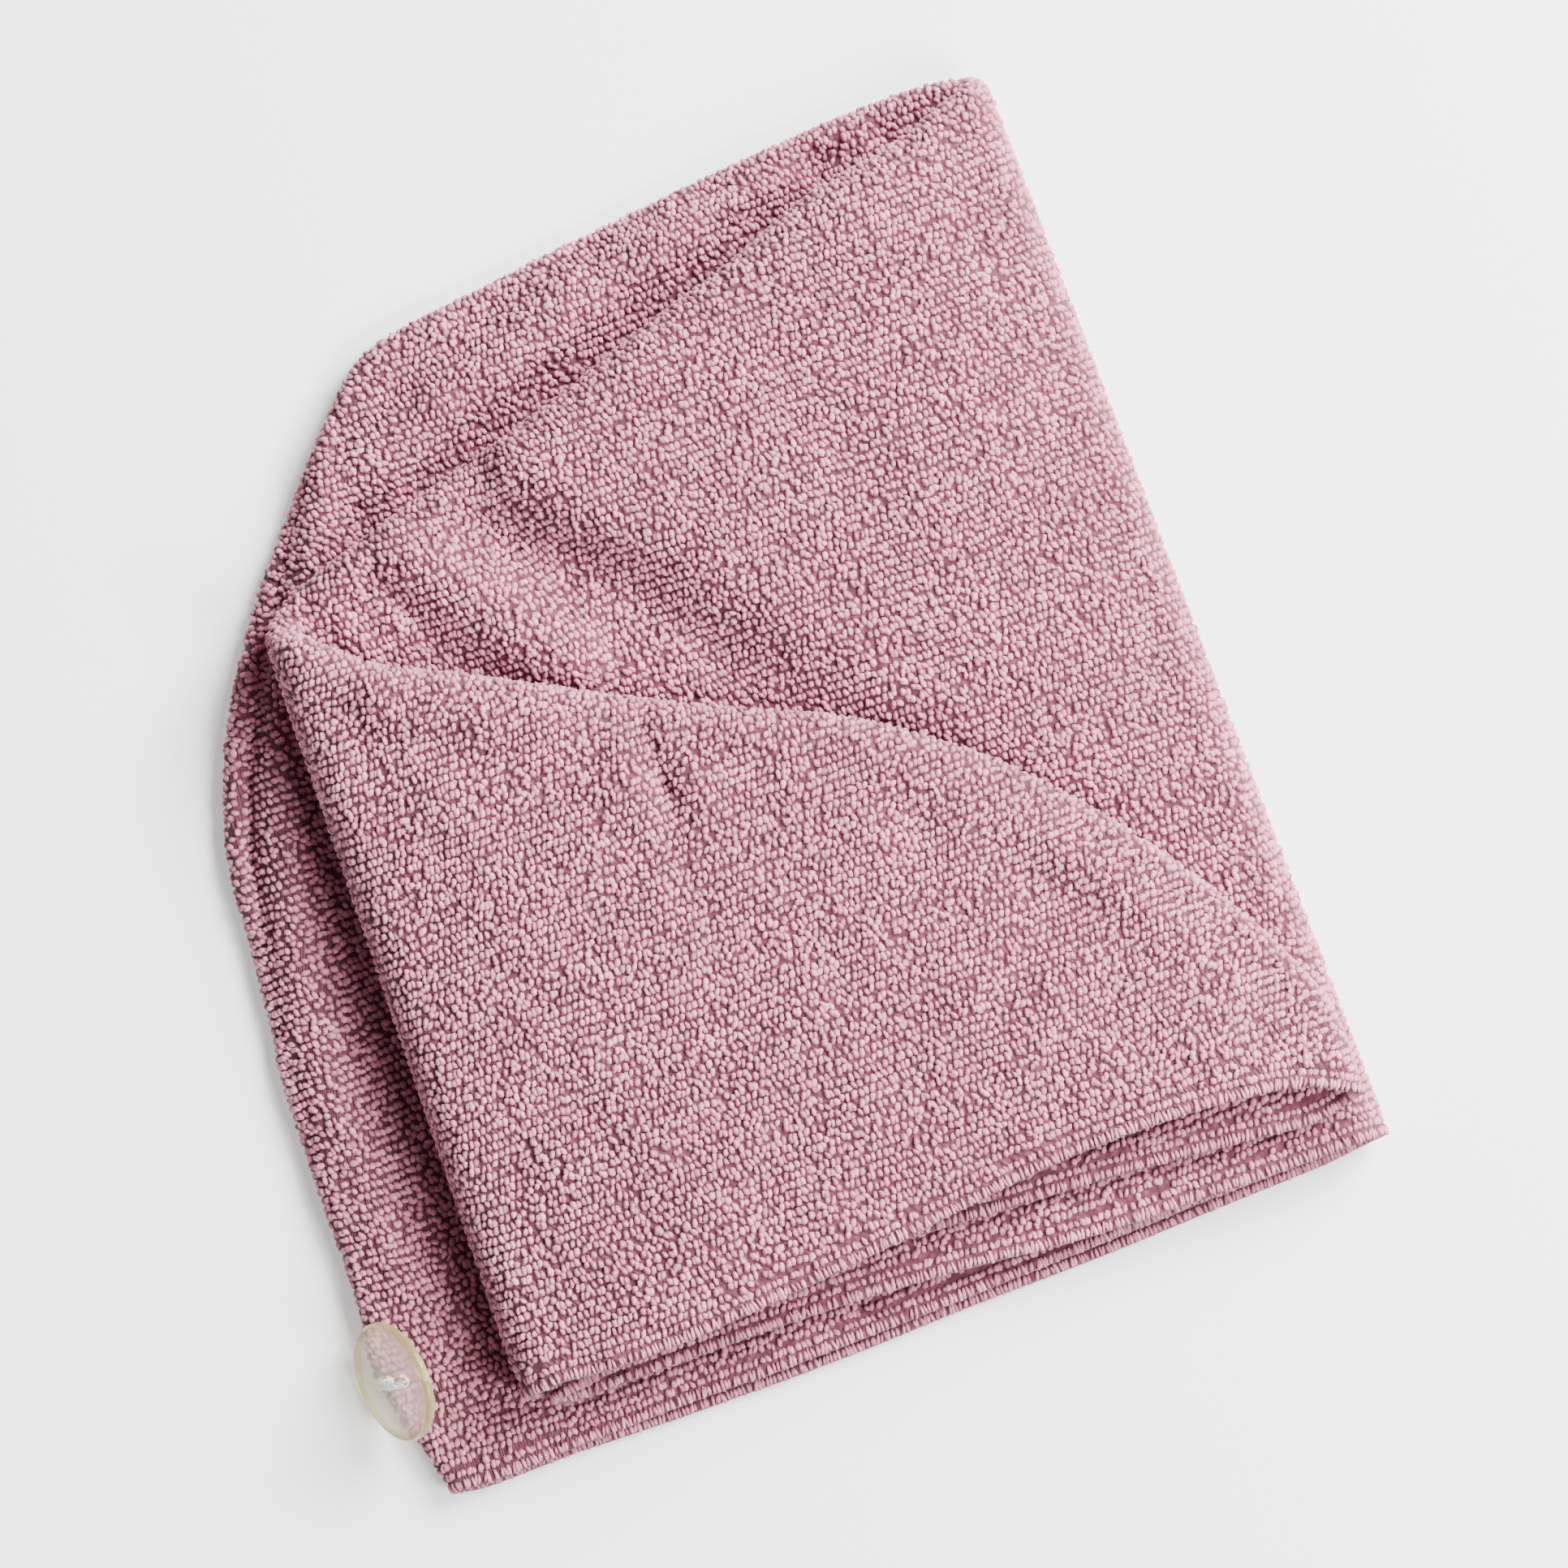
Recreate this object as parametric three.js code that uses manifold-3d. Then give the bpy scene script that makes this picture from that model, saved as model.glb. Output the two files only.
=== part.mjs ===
// A hair turban towel, lying folded in three on a surface, with its button at the nape corner.
// The towel is a flat hood that tapers into a tail: two plies of looped terry, joined at the nape,
// over the crown, along the top edge and at the tail's end, and open along the whole hem.
// Millimetres, +Z up. While it is shaped, X runs along the hem from the nape corner to the right
// fold, Y from the hem to the crown, and the surface it lies on is Z = 0.

import * as THREE from 'three';
import { mergeVertices } from 'three/addons/utils/BufferGeometryUtils.js';
import Module from 'manifold-3d';

// Cloth sizes
const foldedWidth = 224;      // from the nape corner to the right fold
const hoodHeight = 258;       // from the hem to the top of the crown
const ply = 3;                // one ply of terry, loops included
const plyGap = 0.8;           // air between two plies that lie flat
const layGap = 0.7;           // air between one folded layer and the next
const flapLoft = 3.2;         // most that the flap's plies spring apart
const tailLoft = 5.6;         // most that the tail's plies spring apart
const napeBulge = 6.2;        // how far the nape edge swells past its corner
const rollDepth = 9.5;        // depth of the soft roll at the left fold
const rollInsetHem = 22;      // left fold, in from the nape corner, at the hem
const rollInsetTop = 32;      // the same at the hood's full height
const tailEndInset = 3;       // tail's end, in from the right fold

// Button sizes
const buttonDiameter = 28;
const buttonThickness = 2.6;
const buttonEdgeRound = 0.8;
const dishDepth = 0.35;       // the face lies this far below its rim
const dishRim = 1.6;          // width of the rim round the face
const holeDiameter = 2.6;
const holeSpacing = 8;
const buttonTilt = 56;        // degrees that the button stands up from the surface
const holeTurn = 12;          // degrees that the line of holes is turned on the button
const buttonUp = 30;          // button's centre, up the nape edge from the hem
const buttonIn = 3.2;         // button's centre, in from the nape edge

// Thread sizes
const threadDiameter = 1.8;
const threadBend = 1.6;       // radius of the stitch where it leaves a hole
const threadBow = 0.2;        // rise of the stitch between its two bends
const threadSpread = 2.6;     // between the thread's two ends on the cloth
const fitGap = 0.3;           // clear space between pieces that touch

// Faceting
const turnSteps = 6;          // facets round each fold
const capSteps = 5;           // facets round the top seam
const endSteps = 3;           // facets round the nape seam and the tail's end
const rowsUp = 12;            // facets from the hem to the seam
const steepest = 3.6;         // most that the seam's rounding is stretched up a steep stretch
const slopeShare = 0.01;      // share of a layer's width over which the seam's climb is taken
const buttonSides = 40;

// The nape edge: height as a share of the hood's height, swell as a share of the nape bulge
const napeEdge = [
  { up: 0.000, out: 0.00 },
  { up: 0.037, out: 0.30 },
  { up: 0.072, out: 0.65 },
  { up: 0.097, out: 0.90 },
  { up: 0.140, out: 1.00 },
  { up: 0.230, out: 0.74 },
  { up: 0.310, out: 0.65 },
  { up: 0.400, out: 0.55 },
  { up: 0.440, out: 0.30 },
  { up: 0.510, out: -0.08 },
  { up: 0.567, out: -0.37 },
];

// The back half, from the nape edge to the right fold: place as a share of its width, heights of
// the seam and of the two plies' hems as shares of the hood's height
const backRows = [
  { along: 0.000, seam: 0.567, hemUnder: 0.006, hemOver: 0.006 },
  { along: 0.017, seam: 0.623, hemUnder: 0.002, hemOver: 0.006 },
  { along: 0.044, seam: 0.679, hemUnder: 0.000, hemOver: 0.004 },
  { along: 0.083, seam: 0.735, hemUnder: 0.000, hemOver: 0.004 },
  { along: 0.131, seam: 0.791, hemUnder: 0.000, hemOver: 0.005 },
  { along: 0.190, seam: 0.847, hemUnder: 0.001, hemOver: 0.006 },
  { along: 0.253, seam: 0.903, hemUnder: 0.000, hemOver: 0.006 },
  { along: 0.313, seam: 0.949, hemUnder: 0.000, hemOver: 0.005 },
  { along: 0.356, seam: 0.963, hemUnder: 0.000, hemOver: 0.005 },
  { along: 0.457, seam: 0.972, hemUnder: 0.000, hemOver: 0.006 },
  { along: 0.558, seam: 0.981, hemUnder: 0.003, hemOver: 0.009 },
  { along: 0.709, seam: 0.991, hemUnder: 0.003, hemOver: 0.010 },
  { along: 0.853, seam: 0.999, hemUnder: 0.005, hemOver: 0.010 },
  { along: 0.962, seam: 1.000, hemUnder: 0.007, hemOver: 0.010 },
  { along: 1.000, seam: 0.995, hemUnder: 0.009, hemOver: 0.011 },
];

// The flap, from the right fold to the left one
const flapRows = [
  { along: 0.00, seam: 0.982, hemUnder: 0.010, hemOver: 0.012 },
  { along: 0.10, seam: 0.959, hemUnder: 0.011, hemOver: 0.015 },
  { along: 0.22, seam: 0.945, hemUnder: 0.014, hemOver: 0.019 },
  { along: 0.35, seam: 0.913, hemUnder: 0.018, hemOver: 0.024 },
  { along: 0.47, seam: 0.890, hemUnder: 0.028, hemOver: 0.033 },
  { along: 0.59, seam: 0.863, hemUnder: 0.036, hemOver: 0.040 },
  { along: 0.72, seam: 0.838, hemUnder: 0.041, hemOver: 0.045 },
  { along: 0.85, seam: 0.815, hemUnder: 0.043, hemOver: 0.048 },
  { along: 1.00, seam: 0.784, hemUnder: 0.045, hemOver: 0.055 },
];

// The tail, from the left fold to its end
const tailRows = [
  { along: 0.00, seam: 0.742, hemUnder: 0.052, hemOver: 0.066 },
  { along: 0.07, seam: 0.700, hemUnder: 0.058, hemOver: 0.061 },
  { along: 0.16, seam: 0.667, hemUnder: 0.066, hemOver: 0.061 },
  { along: 0.24, seam: 0.636, hemUnder: 0.072, hemOver: 0.064 },
  { along: 0.35, seam: 0.594, hemUnder: 0.076, hemOver: 0.070 },
  { along: 0.47, seam: 0.551, hemUnder: 0.072, hemOver: 0.079 },
  { along: 0.58, seam: 0.514, hemUnder: 0.066, hemOver: 0.087 },
  { along: 0.66, seam: 0.476, hemUnder: 0.062, hemOver: 0.091 },
  { along: 0.76, seam: 0.414, hemUnder: 0.055, hemOver: 0.091 },
  { along: 0.86, seam: 0.328, hemUnder: 0.047, hemOver: 0.085 },
  { along: 0.94, seam: 0.240, hemUnder: 0.041, hemOver: 0.074 },
  { along: 1.00, seam: 0.150, hemUnder: 0.050, hemOver: 0.050 },
];

// How far the flap's plies stand apart, as shares of its loft: along from the left edge to the
// right fold, and at five heights, low to high, that divide the hood's height evenly
const flapForm = [
  { along: 0.00, hem: 0.00, low: 0.00, middle: 0.00, high: 0.10, crown: 0.30 },
  { along: 0.20, hem: 0.00, low: 0.00, middle: 0.00, high: 0.12, crown: 0.45 },
  { along: 0.40, hem: 0.00, low: 0.00, middle: 0.02, high: 0.45, crown: 0.65 },
  { along: 0.60, hem: 0.00, low: 0.00, middle: 0.20, high: 0.85, crown: 0.80 },
  { along: 0.80, hem: 0.00, low: 0.05, middle: 0.75, high: 1.00, crown: 0.80 },
  { along: 1.00, hem: 0.05, low: 0.30, middle: 0.70, high: 0.75, crown: 0.50 },
];

// The same for the tail, as shares of its loft: along from the left fold to its end, and at five
// heights that divide its own height, from hem to seam, evenly
const tailForm = [
  { along: 0.00, hem: 0.70, low: 0.85, middle: 1.00, high: 0.95, crown: 0.80 },
  { along: 0.15, hem: 0.60, low: 0.90, middle: 0.85, high: 0.90, crown: 0.75 },
  { along: 0.35, hem: 0.80, low: 0.95, middle: 1.00, high: 0.95, crown: 0.60 },
  { along: 0.60, hem: 0.90, low: 1.00, middle: 1.00, high: 0.85, crown: 0.45 },
  { along: 0.85, hem: 0.85, low: 0.90, middle: 0.80, high: 0.55, crown: 0.25 },
  { along: 1.00, hem: 0.25, low: 0.25, middle: 0.20, high: 0.15, crown: 0.10 },
];

const heights = ['hem', 'low', 'middle', 'high', 'crown'];
const mix = THREE.MathUtils.lerp;
const clamp = THREE.MathUtils.clamp;

// A column of a table, read at any place along it, on a smooth curve through its rows
function read(rows, column, key, at) {
  const place = clamp(at, rows[0][key], rows[rows.length - 1][key]);
  let i = 0;
  while (i < rows.length - 2 && place > rows[i + 1][key]) {
    i += 1;
  }
  const slope = (k) => {
    const a = rows[Math.max(k - 1, 0)];
    const b = rows[Math.min(k + 1, rows.length - 1)];
    return (b[column] - a[column]) / (b[key] - a[key]);
  };
  const span = rows[i + 1][key] - rows[i][key];
  const s = (place - rows[i][key]) / span;
  return (
    (1 + 2 * s) * (1 - s) ** 2 * rows[i][column]
    + s * (1 - s) ** 2 * span * slope(i)
    + s * s * (3 - 2 * s) * rows[i + 1][column]
    - s * s * (1 - s) * span * slope(i + 1)
  );
}

// A form table, read at a share along and a share up
function readForm(rows, along, up) {
  const place = clamp(up, 0, 1) * (heights.length - 1);
  const i = Math.min(Math.floor(place), heights.length - 2);
  const s = THREE.MathUtils.smoothstep(place - i, 0, 1);
  return mix(read(rows, heights[i], 'along', along), read(rows, heights[i + 1], 'along', along), s);
}

// Lines that the layers are laid out between, at a height y above the hem
const foldDepth = ply / 2 + ply + plyGap + (ply + layGap) / 2;
const rightTurn = foldedWidth - foldDepth;
const tailEnd = foldedWidth - tailEndInset;

function napeX(y) {
  return -napeBulge * read(napeEdge, 'out', 'up', y / hoodHeight);
}

function leftTurn(y) {
  return mix(rollInsetHem, rollInsetTop, y / hoodHeight) + rollDepth;
}

// Heights of the middle of each ply above the surface. The under ply is the one that lies on the
// surface in the back half; in the flap it is on top, and in the tail below again.
const backUnder = ply / 2;
const backOver = backUnder + ply + plyGap;
const flapOver = backOver + ply + layGap;

function flapUnder(x, y) {
  return flapOver + ply + plyGap + flapLoft * readForm(flapForm, x / foldedWidth, y / hoodHeight);
}

function tailUnder(x, y) {
  return flapUnder(x, y) + ply + layGap;
}

function tailOver(x, y, along) {
  const seam = hoodHeight * read(tailRows, 'seam', 'along', along);
  return tailUnder(x, y) + ply + plyGap + tailLoft * readForm(tailForm, along, y / seam);
}

// The middles of the under and over plies at a height y, on a column of one of the layers
function backPair(along, y) {
  const x = mix(napeX(y), rightTurn, along);
  return { under: [x, backUnder], over: [x, backOver] };
}

function rightTurnPair(angle, y) {
  const reach = foldDepth - ply / 2;
  const rise = (flapUnder(rightTurn, y) - backUnder) / 2;
  const inner = (flapOver - backOver) / 2;
  return {
    under: [rightTurn + reach * Math.sin(angle), backUnder + rise * (1 - Math.cos(angle))],
    over: [rightTurn + inner * Math.sin(angle), backOver + inner * (1 - Math.cos(angle))],
  };
}

function flapPair(along, y) {
  const x = mix(rightTurn, leftTurn(y), along);
  return { under: [x, flapUnder(x, y)], over: [x, flapOver] };
}

function leftTurnPair(angle, y) {
  const x = leftTurn(y);
  const low = flapUnder(x, y);
  const inner = (tailUnder(x, y) - low) / 2;
  const rise = (tailOver(x, y, 0) - flapOver) / 2;
  const reach = rollDepth - ply / 2;
  return {
    under: [x - inner * Math.sin(angle), low + inner * (1 - Math.cos(angle))],
    over: [x - reach * Math.sin(angle), flapOver + rise * (1 - Math.cos(angle))],
  };
}

function tailPair(along, y) {
  const x = mix(leftTurn(y), tailEnd, along);
  return { under: [x, tailUnder(x, y)], over: [x, tailOver(x, y, along)] };
}

// A column where the two plies meet in a round end: 90 degrees is the very end of the cloth
function endPair(pair, away, angle) {
  return (y) => {
    const { under, over } = pair(y);
    const half = (over[1] - under[1]) / 2;
    const x = under[0] + away * half * Math.sin(angle);
    const middle = (over[1] + under[1]) / 2;
    const stand = half * Math.cos(angle);
    return { under: [x, middle - stand], over: [x, middle + stand] };
  };
}

// Every column of the towel, from the nape edge round both folds to the tail's end. Where the seam
// climbs steeply, its rounding is stretched up the column, so that it stays round across the seam.
function towelColumns() {
  const columns = [];
  const addColumn = (heightOf, stretch, pair) => {
    columns.push({
      seam: heightOf('seam'),
      hemUnder: heightOf('hemUnder'),
      hemOver: heightOf('hemOver'),
      stretch,
      pair,
    });
  };
  const add = (rows, width, along, pair) => {
    const heightOf = (key, at = along) => hoodHeight * read(rows, key, 'along', at);
    const before = Math.max(along - slopeShare, 0);
    const after = Math.min(along + slopeShare, 1);
    const climb = (heightOf('seam', after) - heightOf('seam', before)) / (after - before);
    addColumn(heightOf, Math.min(Math.hypot(1, climb / width), steepest), pair);
  };
  const addTurn = (from, to, pairAt) => {
    for (let i = 1; i < turnSteps; i += 1) {
      const share = i / turnSteps;
      const heightOf = (key) => hoodHeight * mix(from[from.length - 1][key], to[0][key], share);
      addColumn(heightOf, 1, (y) => pairAt(Math.PI * share, y));
    }
  };
  const endAngles = [];
  for (let i = 0; i < endSteps; i += 1) {
    endAngles.push((Math.PI / 2) * (1 - i / endSteps));
  }

  const edge = (ply + plyGap + ply) / 2;
  const backWidth = rightTurn - napeX(0);
  const first = edge / backWidth;
  for (const angle of endAngles) {
    const along = first * (1 - Math.sin(angle));
    add(backRows, backWidth, along, endPair((y) => backPair(first, y), -1, angle));
  }
  add(backRows, backWidth, first, (y) => backPair(first, y));
  for (const row of backRows.slice(2)) {
    add(backRows, backWidth, row.along, (y) => backPair(row.along, y));
  }
  addTurn(backRows, flapRows, rightTurnPair);
  for (const row of flapRows) {
    add(flapRows, rightTurn - leftTurn(0), row.along, (y) => flapPair(row.along, y));
  }
  addTurn(flapRows, tailRows, leftTurnPair);
  const tailWidth = tailEnd - leftTurn(0);
  for (const row of tailRows.slice(0, -1)) {
    add(tailRows, tailWidth, row.along, (y) => tailPair(row.along, y));
  }
  const last = 1 - edge / tailWidth;
  add(tailRows, tailWidth, last, (y) => tailPair(last, y));
  for (const angle of endAngles.slice().reverse()) {
    const along = mix(last, 1, Math.sin(angle));
    add(tailRows, tailWidth, along, endPair((y) => tailPair(last, y), 1, angle));
  }
  return columns;
}

// One column's points down the middle of the cloth: up the under ply from its hem, round the top
// seam, and down the over ply to its hem
function columnPoints({ seam, hemUnder, hemOver, stretch, pair }) {
  const atSeam = pair(seam);
  const half = 0.5 * Math.hypot(
    atSeam.over[0] - atSeam.under[0],
    atSeam.over[1] - atSeam.under[1],
  );
  const top = seam - (ply / 2 + half) * stretch;
  const points = [];
  for (let i = 0; i < rowsUp; i += 1) {
    const y = mix(hemUnder, top, i / rowsUp);
    const [x, z] = pair(y).under;
    points.push([x, y, z]);
  }
  const { under, over } = pair(top);
  for (let i = 0; i <= capSteps; i += 1) {
    const angle = (Math.PI * i) / capSteps;
    const share = (1 - Math.cos(angle)) / 2;
    points.push([
      mix(under[0], over[0], share),
      top + half * stretch * Math.sin(angle),
      mix(under[1], over[1], share),
    ]);
  }
  for (let i = rowsUp - 1; i >= 0; i -= 1) {
    const y = mix(hemOver, top, i / rowsUp);
    const [x, z] = pair(y).over;
    points.push([x, y, z]);
  }
  return points;
}

// A closed wall of even thickness round a grid of points down its middle
function wallAround(grid, thickness) {
  const across = grid.length;
  const down = grid[0].length;
  const positions = grid.flat(2);
  const index = [];
  for (let i = 0; i + 1 < across; i += 1) {
    for (let j = 0; j + 1 < down; j += 1) {
      const a = i * down + j;
      const b = a + down;
      index.push(a, b, a + 1, b, b + 1, a + 1);
    }
  }
  let middle = new THREE.BufferGeometry();
  middle.setAttribute('position', new THREE.Float32BufferAttribute(positions, 3));
  middle.setIndex(index);
  middle = mergeVertices(middle, 1e-4);
  const faces = [];
  const raw = middle.getIndex().array;
  for (let k = 0; k < raw.length; k += 3) {
    const [a, b, c] = [raw[k], raw[k + 1], raw[k + 2]];
    if (a !== b && b !== c && c !== a) {
      faces.push([a, b, c]);
    }
  }
  const place = middle.getAttribute('position');
  const count = place.count;
  const point = (k) => new THREE.Vector3().fromBufferAttribute(place, k);
  const normals = Array.from({ length: count }, () => new THREE.Vector3());
  for (const face of faces) {
    const corners = face.map(point);
    const normal = corners[1].clone().sub(corners[0]).cross(corners[2].clone().sub(corners[0]));
    if (normal.length() > 0) {
      normal.normalize();
      face.forEach((k, n) => {
        const one = corners[(n + 1) % 3].clone().sub(corners[n]);
        const two = corners[(n + 2) % 3].clone().sub(corners[n]);
        normals[k].addScaledVector(normal, one.angleTo(two));
      });
    }
  }
  const solid = [];
  for (const side of [1, -1]) {
    for (let k = 0; k < count; k += 1) {
      const moved = point(k).addScaledVector(normals[k].clone().normalize(), (side * thickness) / 2);
      solid.push(moved.x, moved.y, moved.z);
    }
  }
  const triangles = [];
  const edges = new Set(faces.flatMap(([a, b, c]) => [`${a},${b}`, `${b},${c}`, `${c},${a}`]));
  for (const [a, b, c] of faces) {
    triangles.push(a, b, c, a + count, c + count, b + count);
    for (const [from, to] of [[a, b], [b, c], [c, a]]) {
      if (!edges.has(`${to},${from}`)) {
        triangles.push(to, from, from + count, to, from + count, to + count);
      }
    }
  }
  const wall = new THREE.BufferGeometry();
  wall.setAttribute('position', new THREE.Float32BufferAttribute(solid, 3));
  wall.setIndex(triangles);
  return wall;
}

function turbanCloth() {
  const geometry = wallAround(towelColumns().map(columnPoints), ply);
  geometry.computeVertexNormals();
  const mesh = new THREE.Mesh(
    geometry,
    new THREE.MeshStandardMaterial({ color: 0xcf97aa, roughness: 0.95, metalness: 0 }),
  );
  mesh.name = 'turban_cloth';
  return mesh;
}

// Where the button stands: its low edge on the surface, its middle over the nape edge
const tilt = THREE.MathUtils.degToRad(buttonTilt);
const turn = THREE.MathUtils.degToRad(holeTurn);
const buttonLift = (buttonDiameter / 2) * Math.sin(tilt)
  + (buttonThickness / 2) * Math.cos(tilt) + fitGap / 3;
const buttonCentre = new THREE.Vector3(napeX(buttonUp) + buttonIn, buttonUp, buttonLift);
const buttonFrame = new THREE.Matrix4().makeRotationY(-tilt).setPosition(buttonCentre);

const wasm = await Module();
wasm.setup();

function toSolid(geometry) {
  const bare = geometry.clone();
  bare.deleteAttribute('normal');
  bare.deleteAttribute('uv');
  const merged = mergeVertices(bare, 1e-4);
  return new wasm.Manifold(new wasm.Mesh({
    numProp: 3,
    vertProperties: Float32Array.from(merged.getAttribute('position').array),
    triVerts: Uint32Array.from(merged.getIndex().array),
  }));
}

function fromSolid(solid) {
  const { vertProperties, triVerts } = solid.getMesh();
  const geometry = new THREE.BufferGeometry();
  geometry.setAttribute('position', new THREE.Float32BufferAttribute(vertProperties, 3));
  geometry.setIndex(Array.from(triVerts));
  geometry.computeVertexNormals();
  return geometry;
}

// The disc stands on +Z of its own frame, with a shallow dish inside a rounded rim
function button() {
  const radius = buttonDiameter / 2;
  const half = buttonThickness / 2;
  const soft = buttonEdgeRound * Math.SQRT1_2;
  const profile = [
    [0, -half],
    [radius - buttonEdgeRound, -half],
    [radius - buttonEdgeRound + soft, -half + buttonEdgeRound - soft],
    [radius, -half + buttonEdgeRound],
    [radius, half - buttonEdgeRound],
    [radius - buttonEdgeRound + soft, half - buttonEdgeRound + soft],
    [radius - buttonEdgeRound, half],
    [radius - dishRim, half],
    [radius - dishRim - dishDepth, half - dishDepth],
    [0, half - dishDepth],
  ].map(([r, z]) => new THREE.Vector2(r, z));
  const disc = new THREE.LatheGeometry(profile, buttonSides).rotateX(Math.PI / 2);
  let solid = toSolid(disc);
  for (const side of [-1, 1]) {
    const drill = new THREE.CylinderGeometry(
      holeDiameter / 2,
      holeDiameter / 2,
      2 * buttonThickness,
      buttonSides / 2,
    ).rotateX(Math.PI / 2);
    const away = (side * holeSpacing) / 2;
    drill.translate(away * Math.cos(turn), -away * Math.sin(turn), 0);
    solid = solid.subtract(toSolid(drill));
  }
  const mesh = new THREE.Mesh(
    fromSolid(solid),
    new THREE.MeshStandardMaterial({ color: 0xe2dccb, roughness: 0.3, metalness: 0 }),
  );
  mesh.name = 'button';
  mesh.applyMatrix4(buttonFrame);
  return mesh;
}

// The thread comes up from the cloth, through one hole, over the face and back through the other
function buttonThread() {
  const onButton = (along, z) => new THREE.Vector3(
    along * Math.cos(turn),
    -along * Math.sin(turn),
    z,
  ).applyMatrix4(buttonFrame);
  const face = buttonThickness / 2 - dishDepth;
  const hole = holeSpacing / 2;
  const back = -buttonThickness / 2 - fitGap;
  const bent = threadBend * Math.SQRT1_2;
  const foot = buttonCentre.x + threadSpread / 2 + fitGap;
  const rest = backOver + ply / 2 + fitGap + (threadDiameter / 2) * Math.sin(tilt);
  const seat = (side, z) => new THREE.Vector3(foot + (side * threadSpread) / 2, buttonUp, z);
  const path = new THREE.CatmullRomCurve3([
    seat(-1, rest),
    onButton(-hole, back),
    onButton(-hole, face),
    onButton(-hole + threadBend - bent, face + bent),
    onButton(-hole + threadBend, face + threadBend),
    onButton(0, face + threadBend + threadBow),
    onButton(hole - threadBend, face + threadBend),
    onButton(hole - threadBend + bent, face + bent),
    onButton(hole, face),
    onButton(hole, back),
    seat(1, rest + 2 * threadDiameter),
    seat(1, rest),
  ], false, 'centripetal');
  const round = new THREE.Shape().absarc(0, 0, threadDiameter / 2, 0, 2 * Math.PI);
  const mesh = new THREE.Mesh(
    new THREE.ExtrudeGeometry(round, { extrudePath: path, steps: 48, curveSegments: 4 }),
    new THREE.MeshStandardMaterial({ color: 0xf4f2ee, roughness: 0.7, metalness: 0 }),
  );
  mesh.name = 'button_thread';
  return mesh;
}

// The part stands with the middle of its base at the origin
const towel = new THREE.Group();
towel.add(turbanCloth(), button(), buttonThread());
towel.updateMatrixWorld(true);
const box = new THREE.Box3().setFromObject(towel, true);
towel.position.set(
  -(box.min.x + box.max.x) / 2,
  -(box.min.y + box.max.y) / 2,
  -box.min.z,
);

export default towel;
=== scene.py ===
"""A hair turban towel of looped terry, lying folded in three, with its button at the nape corner.

The towel is a flat hood that tapers into a tail: two plies joined along the nape, the crown, the
top edge and the tail's end, and open along the hem. It is shaped here in millimetres on its own
axes: X along the hem from the nape corner to the right fold, Y from the hem to the crown, and
Z = 0 where it lies. The finished pieces are moved into the part's frame, in metres.
"""

import math

import bmesh
import bpy
import numpy as np
from mathutils import Matrix, Vector
from mathutils.bvhtree import BVHTree


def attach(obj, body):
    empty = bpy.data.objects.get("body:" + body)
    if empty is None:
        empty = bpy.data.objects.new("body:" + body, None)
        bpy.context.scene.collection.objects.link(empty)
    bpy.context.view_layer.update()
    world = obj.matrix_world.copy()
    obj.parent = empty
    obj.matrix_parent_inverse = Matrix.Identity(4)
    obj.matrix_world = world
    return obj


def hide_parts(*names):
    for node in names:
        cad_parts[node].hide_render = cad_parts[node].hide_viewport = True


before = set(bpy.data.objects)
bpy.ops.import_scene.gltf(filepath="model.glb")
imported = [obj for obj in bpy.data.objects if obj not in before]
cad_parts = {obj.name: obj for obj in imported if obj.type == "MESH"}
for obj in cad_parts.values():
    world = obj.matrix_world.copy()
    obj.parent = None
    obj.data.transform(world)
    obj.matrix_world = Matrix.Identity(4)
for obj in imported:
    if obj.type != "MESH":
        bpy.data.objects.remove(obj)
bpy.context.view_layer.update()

MM = 0.001
NAPE_CORNER = (-106.277, -128.915)   # where the shaping axes start, in the part's frame

# Cloth sizes
FOLDED_WIDTH = 224
HOOD_HEIGHT = 258
PLY = 3
PLY_GAP = 0.8
LAY_GAP = 0.7
FLAP_LOFT = 9.0
TAIL_LOFT = 5.4
HOLLOW_FLOOR = 0.05                  # of the flap's loft, left of the edge of its hollow
HOLLOW_WIDTH = 17                    # over which the flap climbs out of its hollow
HOLLOW_SLANT = 0.77                  # from a width along the rows to one square to the edge
COVER_SLOPE = 0.7                    # of the flap where it climbs out from under the tail
RUMPLE = 0.7                         # most that a ply is uneven
NAPE_BULGE = 6.2
ROLL_DEPTH = 9.5
ROLL_INSET_HEM = 22
ROLL_INSET_TOP = 32
TAIL_END_INSET = 3

# Terry sizes
LOOP_PITCH = 1.4                     # from loop to loop along a row
ROW_PITCH = 2.0                      # from row to row
ROW_WANDER = 0.32                    # how far the rows wave to and fro
FILL_SPACING = 1.35                  # between the loops that fill the gaps the rows leave
FILL_TRIES = 5                       # for each loop that would fit
LOOP_SINK = 0.15                     # how deep a loop's middle sits under the ground's face
HEM_STITCH_PITCH = 0.95
HEM_STITCH_ROW = 1.6                 # from the hem to the middle of its stitches
HEM_LOOP_ROW = 4.2                   # from the hem to the row of loops that follows it
HEM_CLEAR = 5.7                      # from the hem to the first level row of loops
OUTER_REACH = 1.15 * HOOD_HEIGHT     # up a ply from its hem, with loops on its outer face
INNER_REACH = 30                     # and on its inner face, where they can be seen at all
LOOP = {"Width": 1.58, "Length": 2.25, "Height": 2.0, "Lumps": 0.7,
        "Size spread": 0.2, "Lean": 0.45, "Twist": 0.8}
HEM_STITCH = {"Width": 1.15 * HEM_STITCH_PITCH, "Length": 2.8, "Height": 1.2, "Lumps": 0.3,
              "Size spread": 0.25, "Lean": 0.25, "Twist": 0.3}
LOOP_SIDES = 6
LOOP_RINGS = 4
SEED = 7

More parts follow.
